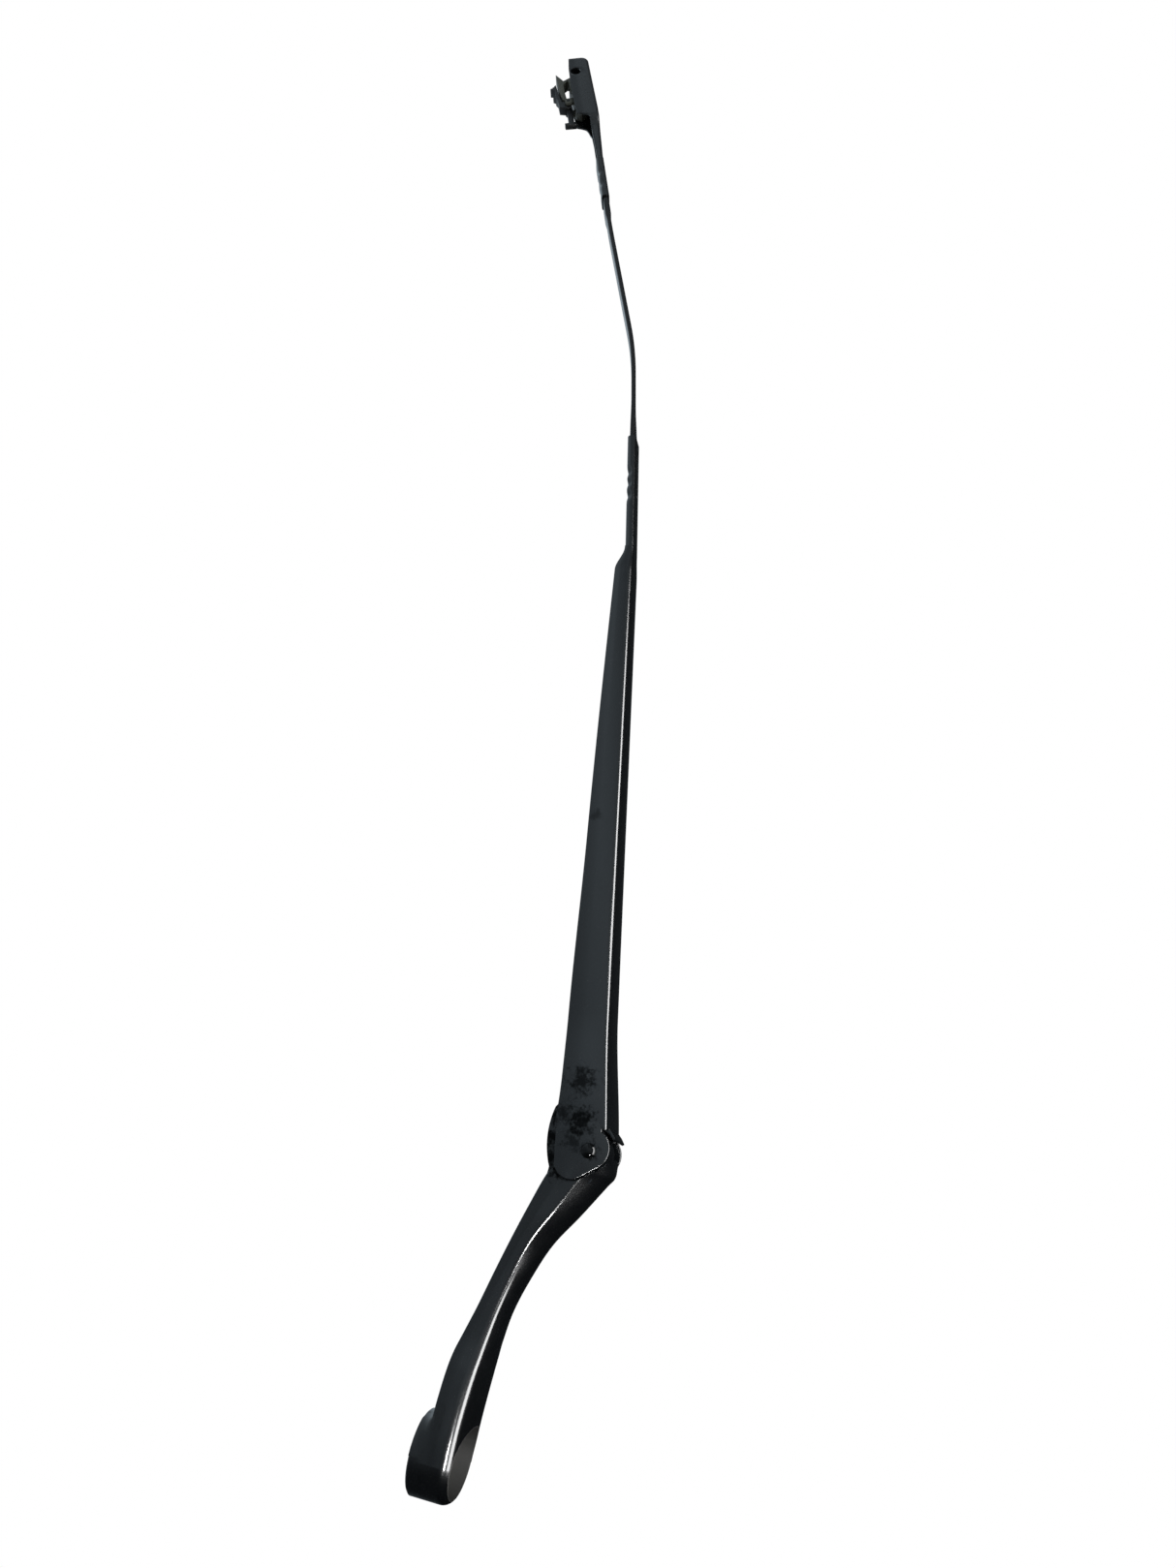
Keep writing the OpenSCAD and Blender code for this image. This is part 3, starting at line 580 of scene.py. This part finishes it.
def hinge_lug():
    belly = 31.0
    outline = [(-13, -EAR_D - 4), (-6.5, -EAR_D - 2.4)] + arc(3.4, belly - EAR_D - 3.6, belly, 253, 293, 16)
    outline += [(18.2, 1.5 - EAR_D), (18.2, WEB_H - 0.4), (7.6, 4.4), (5.6, 5.6), (-10.3, 1.2), (-13.5, -4)]
    return plate("lug", outline, -LUG_HW, LUG_HW, ARM)


def ear_pockets():
    """Room that the channel's ears turn in, drawn along the back of an ear."""
    (top_x, top_r), (low_x, low_r) = EAR_TOP, EAR_LOW
    outline = arc(top_x, 0, top_r + POCKET_GAP, 95, 150, 12)
    outline += arc(low_x, low_r - EAR_D, low_r + POCKET_GAP, 150, 262, 20)
    outline += [(2, -22), (40, -22), (40, 14), (0.2, 14)]
    floor_y = LUG_HW - 0.1
    return [plate("cut", outline, floor_y, 20, ARM), plate("cut", outline, -20, -floor_y, ARM)]


def link_bay():
    """Slot for the spring and its link, open to the glass side and over the hinge."""
    outline = [(-40, -30), (-14, -14), (-10, -9), (-9.9, -1.6), (-2.2, 1.5), (-2.2, 20), (40, 20), (40, -30)]
    return plate("cut", outline, -BAY_HW, BAY_HW, ARM)


def underside_hollow():
    roof = [curve_row(HEAD_ROWS, s) for s in spread(3, 9.7, 0.5)[::-1]]
    outline = [(BOSS_R + 10, -20), (HINGE_X - 12, HINGE_Z / 2 - 20)]
    outline += [(row[0], row[3] - CAST_WALL) for row in roof]
    outline.append((BOSS_R + 10, SHOULDER_Z - 2 * CAST_WALL))
    half = WAIST_W / 2 - CAST_WALL
    return plate("cut", outline, -half, half, HEAD)


def head_casting():
    rings = [head_ring(curve_row(HEAD_ROWS, s)) for s in spread(0, len(HEAD_ROWS) - 1, 0.1)]
    head = skin("head", rings, HEAD)
    carve(head, ear_pockets())
    blend = skin("blend", [blend_ring(x) for x in spread(0, 17.4, 0.5)], HEAD)
    carve(head, [blend, turned_boss(), hinge_lug()], "UNION")
    carve(head, [turned("cut", [(RECESS_R, 0), (RECESS_R, 30)], HEAD, 128),
                 link_bay(),
                 turned("cut", [(STUD_R, -30), (STUD_R, 10)], HEAD),
                 turned("cut", [(TAPER_R, -BOSS_DROP - 0.01), (STUD_R + 0.8, -SEAT_T)], HEAD),
                 underside_hollow(),
                 across_cut(BUSH_R, across(0, 0, ARM)),
                 across_cut(ANCHOR_R, across(ANCHOR[0], ANCHOR[1], ARM))])
    return round_edges(head, 0.3, 2, 40)


finish_piece(head_casting(), cast_black, "head", "mounting_head", 32)


# Channel: its section at x, which narrows from the hinge and steps down to the tail
def draw_in(x):
    return ease((x - STEP_X + STEP_RUN) / STEP_RUN)


def heel(x):
    return 1 - ease(x / 50)


def wall_z(x):
    """Height of the wall's free edge: a long taper with a slight belly, and a bulge behind the ear."""
    belly = 0.8 * math.sin(math.pi * min(max((x - 25) / (STEP_X - 35), 0), 1))
    bulge = 0.9 * ease((x - 12) / 14) * (1 - ease((x - 50) / 70))
    ear = 1.7 * (1 - ease((x - 8) / 18))
    taper = mix(1.7 - EAR_D, -2.9, (x - 25) / (STEP_X - 33))
    return mix(taper - belly - bulge - ear, TAIL_Z - TAIL_T, draw_in(x))


def half_w(x):
    plain = mix(CHANNEL_W / 2, STEP_W / 2, x / STEP_X)
    flared = mix(plain, HINGE_W / 2 - 0.02, 1 - ease((x - 11) / 40))
    return mix(flared, TAIL_HW + 0.05, draw_in(x))


def web_z(x):
    return WEB_H + HEEL_H * heel(x) - 0.15 * draw_in(x)


def web_crown(x):
    return mix(0.5 + HEEL_CROWN * heel(x), 0.15, draw_in(x))


def web_corner(x):
    return mix(mix(1.4, 2.3, ease(x / 90)), 1.5, draw_in(x))


def web_t(x):
    return mix(SHEET, CRIMP_WALL, ease((x - STEP_X + 2 * STEP_RUN) / STEP_RUN))


def pressed_half(w, z0, z1, crown, r, t, steps=9):
    """Half outline of a pressed U, t inside its outer face."""
    roll = 90 - math.degrees(math.atan(2 * crown / (w - r + 1)))
    half = [(w - t, z0), (w - t, mix(z0, z1 - r, 0.5))] + arc(w - r, z1 - r, r - t, 0, roll, steps)
    edge_y, edge_z = half[-1]
    half += [(edge_y * y, edge_z + crown * (1 - y * y)) for y in (0.85, 0.7, 0.55, 0.4, 0.25, 0.12)]
    return half + [(0, edge_z + crown)]


def pressed_ring(x, w, z0, z1, crown, r, t, far=None):
    """Section of a pressed U whose far wall may end at another height."""
    outer, inner = pressed_half(w, z0, z1, crown, r, 0), pressed_half(w, z0, z1, crown, r, t)
    far = z0 if far is None else far

    def left(half):
        row = list(reversed(half[:-1]))
        row[-1] = (row[-1][0], far)
        row[-2] = (row[-2][0], mix(far, z1 - r, 0.5))
        return [(x, -y, z) for y, z in row]

    outside = [(x, y, z) for y, z in outer] + left(outer)
    return outside + left(inner)[::-1] + [(x, y, z) for y, z in reversed(inner)]


def folded_ring(x, w, t, r, wall, seam, dent=0.0):
    """Section of a sheet folded round the rod, open along a seam on the glass side."""
    def half(inset, q):
        foot = [(seam / 2, inset - t), (w - r, inset - t)]
        return foot + arc(w - r, r - t, q, 270, 360, 5)[1:] + arc(w - r, t - r, q, 0, 90, 5)

    outer = [(y - dent, z + 0.8 * dent) if y > w / 2 and z < 0 else (y, z) for y, z in half(0, r)]
    inner = [(min(y, w - wall), min(max(z, wall - t), t - wall)) for y, z in half(wall, max(r - wall, 0.25))]
    return mirrored_ring(x, outer) + [(x, -y, z) for y, z in inner] + [(x, y, z) for y, z in reversed(inner)]


def crimp_depth(x, marks, depth=0.55, run=2.0):
    return sum(depth * math.exp(-((x - m) / run) ** 2) for m in marks)


def channel_ring(x):
    return pressed_ring(x, half_w(x), wall_z(x), web_z(x), web_crown(x), web_corner(x), web_t(x))


def ear_outline():
    (top_x, top_r), (low_x, low_r) = EAR_TOP, EAR_LOW
    back = arc(top_x, 0, top_r, 46, 148, 28) + arc(low_x, low_r - EAR_D, low_r, 150, 270, 30)
    foot = [(6, -EAR_D - 0.01), (10, -EAR_D - 0.01), (10.6, -EAR_D + 2), (10.6, 3), (10, 3.6)]
    return back + foot + arc(6.9, 6.3, 1.9, 300, 262.5, 3)


def channel_pressing():
    fine_from = STEP_X - STEP_RUN - 14
    stops = spread(WEB_END_X, 60, 1.2) + spread(60, fine_from, 4)[1:]
    stops += spread(fine_from, STEP_X + 0.5, 0.7)[1:]
    shell = round_edges(skin("shell", [channel_ring(x) for x in stops], ARM), 0.22, 2, 50)
    # Curved lip at the web's end, over the hinge
    curl = [(7.4, 4.2), (8.6, 4.2), (8.8, 6.4), (6.7, 8.0), (4.6, 9.1), (4.1, 8.2), (6.1, 6.9), (7.3, 5.4)]
    lip = round_edges(plate("lip", curl, -9.2, 9.2, ARM), 0.25, 2, 30)
    crimps = (28, 35, 41)
    tail = skin("tail", [folded_ring(x, TAIL_HW, TAIL_T, 1.5, CRIMP_WALL, 0.9, crimp_depth(x, crimps))
                         for x in spread(-0.6, TAIL_LEN, 0.5)], TAIL)
    round_edges(tail, 0.18, 2, 50)
    ears = []
    for y0, y1 in ((HINGE_W / 2 - SHEET, HINGE_W / 2), (-HINGE_W / 2, SHEET - HINGE_W / 2)):
        ears.append(round_edges(plate("ear", ear_outline(), y0, y1, ARM), 0.42, 4, 30))
    return merged("channel_pressing", [shell, lip, tail] + ears)


finish_piece(channel_pressing(), sheet_black, "arm", "channel", 40)


# Hinge rivet
def rivet():
    half = HINGE_W / 2
    dome = [(RIVET_HEAD_R, half), (RIVET_HEAD_R, half + 0.25)]
    for k in range(1, 15):
        a = math.radians(6 * k)
        dome.append((RIVET_HEAD_R * math.cos(a), half + 0.3 + RIVET_CROWN * math.sin(a)))
    far_dome = [(r, -h) for r, h in reversed(dome)]
    top = (1e-4, half + 0.3 + RIVET_CROWN)
    profile = [(top[0], -top[1])] + far_dome + [(RIVET_R, -half), (RIVET_R, half)] + dome + [top]
    return turned("hinge_pin", profile, across(0, 0, ARM), 64)


finish_piece(rivet(), rivet_black, "arm", "hinge_rivet", 50)


# Rod
def rod_ring(s):
    """Section of the flat bar, twisted after the tail and swaged thicker before the sleeve."""
    x, z = between(s, ROD_X), between(s, ROD_Z)
    heading = math.radians(between(s, ROD_KNOTS))
    turn = math.radians(ROD_TWIST * ease((s - TAIL_LEN) / 25))
    swage = between(s, [(TIP_S - 16, 0), (TIP_S - 12.5, SWAGE), (TIP_S - 3, SWAGE), (TIP_S - 1, 0)])
    w, thick, corner_r = ROD_W / 2, (ROD_T + swage) / 2, 0.6
    corner = arc(w - corner_r, thick - corner_r, corner_r, 0, 90, 4)
    half = corner + [(-y, n) for y, n in reversed(corner)]
    ring = []
    for y, n in half + [(-y, -n) for y, n in half]:
        out = y * math.sin(turn) + n * math.cos(turn)
        ring.append((x - out * math.sin(heading), y * math.cos(turn) - n * math.sin(turn),
                     z + out * math.cos(heading)))
    return ring


def rod_bar():
    stops = spread(-ROD_IN, -14, 6) + spread(-14, 0, 1)[1:] + spread(0, TAIL_LEN, 8)[1:]
    stops += spread(TAIL_LEN, ROD_X[-1][0], 1)[1:]
    hook_hole = [(WIRE_D / 2 + 0.55, -4), (WIRE_D / 2 + 0.55, 4)]
    bar = skin("rod_bar", [rod_ring(s) for s in stops], ARM)
    return carve(bar, [turned("cut", hook_hole, ARM @ move(HOOK_X, 0, HOOK_Z), 32)])


finish_piece(rod_bar(), rod_black, "arm", "rod", 40)


# Blade end
# Height of its top over shares of the neck and then of the box, and of its walls' edges from the box's start
TIP_TOP = [(0, -0.2), (0.42, 0.35), (0.67, 0.65), (0.98, 1.1), (1.11, 1.05), (1.24, 0.85), (1.48, 0.45),
           (2, -0.35)]
NEAR_EDGE = [(-NECK_LEN, -1.3), (-18, -1.7), (-1.6, -2), (-0.9, -2.5), (1.0, DEEP + 1.6), (1.7, DEEP + 1),
             (17, DEEP), (38, DEEP + 0.1), (BOX_LEN, DEEP + 0.8)]
FAR_EDGE = [(-NECK_LEN, -1.3), (-14, -1.3), (-6.8, -1.6), (0.2, -2.4), (2.6, -3.1), (4.3, -4), (5.6, -6.3),
            (6.6, DEEP + 1.2), (17, DEEP), (38, DEEP + 0.1), (BOX_LEN, DEEP + 0.8)]


def tip_w(x):
    neck = mix(TIP_HW - 0.1, TIP_HW - 0.5, ease(x / 8))
    return mix(neck, BOX_W / 2, ease((x - NECK_LEN + 7) / 7))


def tip_top(x):
    along = x / NECK_LEN if x < NECK_LEN else 1 + (x - NECK_LEN) / BOX_LEN
    z = TIP_T + between(along, TIP_TOP)
    lip = x - (NECK_LEN + BOX_LEN - BOX_LIP_R)
    return z - (BOX_LIP_R - math.sqrt(max(BOX_LIP_R ** 2 - lip * lip, 0))) if lip > 0 else z


def tip_ring(x):
    near, far = between(x - NECK_LEN, NEAR_EDGE), between(x - NECK_LEN, FAR_EDGE)
    return pressed_ring(x, tip_w(x), near, tip_top(x), 0.15, 1.6, TIP_SHEET, far)


def tip_stamping():
    end = NECK_LEN + BOX_LEN
    stops = spread(0, NECK_LEN - 8, 1.5) + spread(NECK_LEN - 8, NECK_LEN + 10, 0.35)[1:]
    stops += spread(NECK_LEN + 10, end - BOX_LIP_R, 2)[1:] + spread(end - BOX_LIP_R, end, 0.25)[1:]
    shell = skin("shell", [tip_ring(x) for x in stops], TIP @ move(SLEEVE_LEN, 0, 0))
    carve(shell, [across_cut(2.9, across(BOX_END - 10.7, DEEP + 3.8, TIP))])
    round_edges(shell, 0.16, 2, 50)
    sleeve = skin("sleeve", [folded_ring(x, TIP_HW, TIP_T, 1.4, TIP_SHEET, 0.4, crimp_depth(x, (9, 18), 0.5))
                             for x in spread(0, SLEEVE_LEN + 0.5, 0.5)], TIP)
    round_edges(sleeve, 0.15, 2, 50)
    top = tip_top(end - BOX_LIP_R)
    inner = BOX_END - TIP_SHEET
    wall = [(inner, DEEP + 1), (BOX_END, DEEP + 1), (BOX_END, top - 2.4), (inner, top - 1.4)]
    end_wall = round_edges(plate("end_wall", wall, 0.7 - BOX_W / 2, BOX_W / 2 - 0.7, TIP), 0.15, 2, 30)
    return merged("tip_stamping", [shell, sleeve, end_wall])


finish_piece(tip_stamping(), tip_black, "arm", "tip_holder", 40)


# Adapter and latch
def adapter():
    """Moulded block on the pin, a pointed leaf below it and two cheeks that carry the latch."""
    pivot = TIP @ move(BOX_END - 20, 0, DEEP + 3.2)
    block = [(-16, 1.3), (-13, 4.3), (-4, 5.6), (4, 5.6), (6, 3.3), (6.4, -2.8), (4.6, -4), (-14, -2.2)]
    leaf = [(BOX_END - x, z) for x, z in (
        (14.5, 1.3), (9.4, 1.3), (12.2, -3.4), (6.4, -7.3), (13, -6.9), (21.2, -6.6), (27.8, -5.2),
        (28.4, -4), (27.8, -2.9), (21.6, -3.6), (15, -3.6), (12.8, -1.3))]
    parts = [round_edges(plate("block", block, -5.8, 5.8, pivot), 0.4, 2, 30),
             round_edges(plate("leaf", leaf, -3, 3, TIP @ move(0, 0, DEEP)), 0.25, 2, 20)]
    cheek = arc(0, 0, 1.9, 180, 360, 16) + [(1.9, 4.6), (-1.9, 4.6)]
    latch_pin = TIP @ move(BOX_X + 14.8, 0, DEEP - 2.4)
    for y in (2.8, -4.6):
        parts.append(round_edges(plate("cheek", cheek, y, y + 1.8, latch_pin), 0.2, 2, 40))
    return merged("adapter_moulding", parts)


def latch():
    """Moulded lever with its finger, ribs and trunnions."""
    base = TIP @ move(0, 0, DEEP)
    end = BOX_END
    lever = [(end - x, z) for x, z in (
        (14.3, -7.9), (15.3, -9.1), (15.9, -8.95), (16.1, -10.0), (16.7, -9.9), (16.9, -11.0), (17.5, -11.4),
        (18.6, -8.8), (25.2, -9), (27, -7.9))]
    lever += [(BOX_X + 13.2, -7.6), (BOX_X + 12, -3.4), (BOX_X + 12, -0.6), (BOX_X + 16.8, -1.4)]
    lever += [(BOX_X + 17, -5.6), (end - 27.5, -6.3), (end - 21.2, -7.1), (end - 17, -7.6)]
    finger = [(BOX_X + x, z) for x, z in (
        (12.5, -0.6), (12.5, -3.6), (5.5, -3.6), (1, -3.6), (0.8, -5.8), (-0.8, -5.6), (-1, 0.6), (0.6, 0.8),
        (1.4, -0.5))]
    rib = [(end - 20.5, -8.5), (end - 23.8, -10.4), (end - 25.4, -8.6)]
    parts = [round_edges(plate(name, outline, -half, half, base), 0.2, 2, 30)
             for name, outline, half in (("lever", lever, 2.5), ("finger", finger, 1.5), ("rib", rib, 1.4))]
    pin = [(1e-4, -4.6), (0.9, -4.6), (1, -4.5), (1, 4.5), (0.9, 4.6), (1e-4, 4.6)]
    trunnions = turned("trunnions", pin, across(BOX_X + 14.8, DEEP - 2.4, TIP), 32)
    return merged("latch_moulding", parts + [trunnions])


finish_piece(adapter(), adapter_plastic, "adapter", "blade_adapter", 35)
finish_piece(latch(), latch_plastic, "latch", "release_latch", 35)


# Spring
def spring():
    """Close coil with a hook at each end: rows are points of the wire and the way out from its coil."""
    coil_r = (SPRING_OD - WIRE_D) / 2
    pull = (HOOK_X - ANCHOR[0], HOOK_Z - ANCHOR[1])
    place = ARM @ move(ANCHOR[0], 0, ANCHOR[1]) @ turn_y(-math.degrees(math.atan2(pull[1], pull[0])))
    near_c, far_c, lead_x, lead = LINK_EYE + coil_r, math.hypot(*pull) - coil_r, 2.0, 60.0
    coil = 360 * TURNS - 2 * lead + 90

    def unit(a):
        return math.cos(math.radians(a)), math.sin(math.radians(a))

    def ramp(x, a, way, u):
        c, s = unit(a)
        return (x + way * lead_x * (1 - (1 - u) ** 2), coil_r * c, coil_r * s), (0, c, s)

    rows = []
    for a in range(-75, -271, -15):
        c, s = unit(a)
        rows.append(((near_c + coil_r * c, coil_r * s, 0), (c, s, 0)))
    rows += [ramp(near_c, lead * u * u, 1, u) for u in (0.25, 0.5, 0.75, 1)]
    for k in range(1, int(coil / 15)):
        c, s = unit(lead + 15.0 * k)
        x = mix(near_c + lead_x, far_c - lead_x, 15.0 * k / coil)
        rows.append(((x, coil_r * c, coil_r * s), (0, c, s)))
    rows += [ramp(far_c, 90 - lead * u * u, -1, u) for u in (1, 0.75, 0.5, 0.25)]
    for a in range(0, 256, 15):
        c, s = unit(a)
        rows.append(((far_c + coil_r * s, 0, coil_r * c), (s, 0, c)))
    rings = []
    for i, (p, out) in enumerate(rows):
        along = (Vector(rows[min(i + 1, len(rows) - 1)][0]) - Vector(rows[max(i - 1, 0)][0])).normalized()
        n = Vector(out)
        side = along.cross(n).normalized()
        rings.append([tuple(Vector(p) + WIRE_D / 2 * (c * n + s * side))
                      for c, s in map(unit, range(0, 360, 30))])
    return skin("coil_spring", rings, place)


finish_piece(spring(), spring_steel, "spring", "tension_spring", 50)

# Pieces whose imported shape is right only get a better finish
for node, finish in (("spring_link", link_steel), ("spring_anchor_pin", pin_steel),
                     ("adapter_pin", pin_steel), ("hinge_bush_near", bush_plastic),
                     ("hinge_bush_far", bush_plastic)):
    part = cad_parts[node]
    part.data.materials.clear()
    part.data.materials.append(finish)


# Floor, light and camera
def ramp_of(tree, value, low, high, rows):
    """Grey tones over a value, from (place, tone) rows."""
    span = add(tree, "MapRange", {"From Min": low, "From Max": high}, {"Value": value})
    node = add(tree, "ValToRGB", {}, {0: span.outputs["Result"]})
    stops = node.color_ramp.elements
    for (place, tone), stop in zip(rows, [stops[0], stops[1]] + [stops.new(0.5) for _ in rows[2:]]):
        stop.position = (place - low) / (high - low)
        stop.color = (tone, tone, tone, 1)
    return node.outputs["Color"]


def white_stage(name, hex_code):
    """Matt pale ground that the camera sees as white, and whose mirror image fades to both ends."""
    mat, tree, place = new_finish(name)
    path = add(tree, "LightPath")
    matt = add(tree, "BsdfDiffuse", {"Color": colour(hex_code)})
    bright = add(tree, "Emission", {"Color": (1, 1, 1, 1), "Strength": 1.0})
    along = add(tree, "SeparateXYZ", {}, {0: place}).outputs["X"]
    tone = ramp_of(tree, along, -1.5, 2.5, (
        (-1.3, 0.02), (-0.6, 0.05), (-0.3, 0.16), (-0.05, 0.42), (0.15, 0.42), (0.5, 0.72), (0.75, 0.95),
        (0.9, 1.0), (1.1, 0.7), (1.25, 0.5), (1.6, 0.36), (2.3, 0.3)))
    # A brighter patch that the pressed steel near the hinge mirrors
    patch = add(tree, "VectorMath", {"operation": "DISTANCE", 1: (-0.22, 1.85, -0.42)}, {0: place})
    fade = {"interpolation_type": "SMOOTHSTEP", "From Min": 0.0, "From Max": 0.34, "To Min": 1.1,
            "To Max": 0.0}
    glow = add(tree, "MapRange", fade, {"Value": patch.outputs["Value"]})
    strength = add(tree, "Math", {"operation": "ADD"}, {0: tone, 1: glow.outputs["Result"]})
    mirrored = add(tree, "Emission", {"Color": (0.82, 0.97, 1.08, 1)}, {"Strength": strength.outputs[0]})
    shiny = add(tree, "MixShader", {}, {0: path.outputs["Is Glossy Ray"], 1: matt.outputs[0],
                                        2: mirrored.outputs[0]})
    pick = add(tree, "MixShader", {}, {0: path.outputs["Is Camera Ray"], 1: shiny.outputs[0],
                                       2: bright.outputs[0]})
    add(tree, "OutputMaterial", {}, {"Surface": pick.outputs[0]})
    return mat


FLOOR_Z = -420
corners = [(-3000, -3000, FLOOR_Z), (3600, -3000, FLOOR_Z), (3600, 3000, FLOOR_Z), (-3000, 3000, FLOOR_Z)]
floor = body_of("floor", corners, [(0, 1, 2, 3)], HEAD)
floor.data.materials.append(white_stage("pale_floor", "#dcdcda"))

world = bpy.data.worlds.new("studio")
bpy.context.scene.world = world
world.use_nodes = True
sky = world.node_tree
sky.nodes.clear()
ray = add(sky, "LightPath")
# What shines back from above is a dim room on the near side and nothing on the far side
aim = add(sky, "SeparateXYZ", {}, {0: add(sky, "TexCoord").outputs["Generated"]})
near_side = ramp_of(sky, aim.outputs["Y"], -1.0, 1.0, ((-0.1, 0.02), (0.3, 0.2), (0.8, 0.6), (1.0, 0.8)))
ahead = ramp_of(sky, aim.outputs["X"], -1.0, 1.0, ((-0.5, 0.05), (-0.15, 0.6), (0.2, 1.0), (0.8, 0.8)))
level = add(sky, "Math", {"operation": "MULTIPLY"}, {0: near_side, 1: ahead})
room = add(sky, "Background", {"Color": (0.85, 0.97, 1.06, 1)}, {"Strength": level.outputs[0]})
plain = add(sky, "Background", {"Color": (1, 1, 1, 1), "Strength": 0.25})
backdrop = add(sky, "Background", {"Color": (1, 1, 1, 1), "Strength": 1.0})
shine = add(sky, "MixShader", {}, {0: ray.outputs["Is Glossy Ray"], 1: plain.outputs[0], 2: room.outputs[0]})
choose = add(sky, "MixShader", {}, {0: ray.outputs["Is Camera Ray"], 1: shine.outputs[0],
                                    2: backdrop.outputs[0]})
add(sky, "OutputWorld", {}, {"Surface": choose.outputs[0]})


def lamp(name, at, target, width, height, power):
    """A soft box at a point in millimetres, aimed at another."""
    light = bpy.data.lights.new(name, "AREA")
    light.shape = "RECTANGLE"
    light.size, light.size_y = width * MM, height * MM
    light.energy = power
    obj = bpy.data.objects.new(name, light)
    obj.location = Vector(at) * MM
    obj.rotation_euler = (Vector(target) - Vector(at)).to_track_quat("-Z", "Y").to_euler()
    bpy.context.scene.collection.objects.link(obj)
    return obj


# The strip and the small lamps only show as highlights, and the soft one only as even light
for spot in (lamp("strip_above", (350, 250, 700), (350, 0, 0), 1200, 380, 31),
             lamp("small_near", (-52, 191, 116), (100, 12, 33), 36, 36, 0.8),
             lamp("small_far", (270, 137, 170), (108, 12, 30), 20, 20, 0.06)):
    spot.visible_diffuse = False
lamp("soft_over", (200, 700, 700), (200, 0, 0), 500, 500, 4).visible_glossy = False

# The camera stands over the near side of the arm and looks along it, with the head closest
CAMERA_AT = (83.142, 443.5, 129.922)
CAMERA_TURN = (-23.6846, -72.6042, -44.3628)

camera = bpy.data.cameras.new("camera")
camera.sensor_fit = "VERTICAL"
camera.sensor_height = 36.0
camera.lens = 27.04
camera.clip_start = 0.01
view = bpy.data.objects.new("camera", camera)
aimed = Euler([math.radians(a) for a in CAMERA_TURN]).to_matrix().to_4x4()
view.matrix_world = Matrix.Translation(Vector(CAMERA_AT) * MM) @ aimed
bpy.context.scene.collection.objects.link(view)
bpy.context.scene.camera = view
bpy.context.scene.view_settings.view_transform = "Standard"
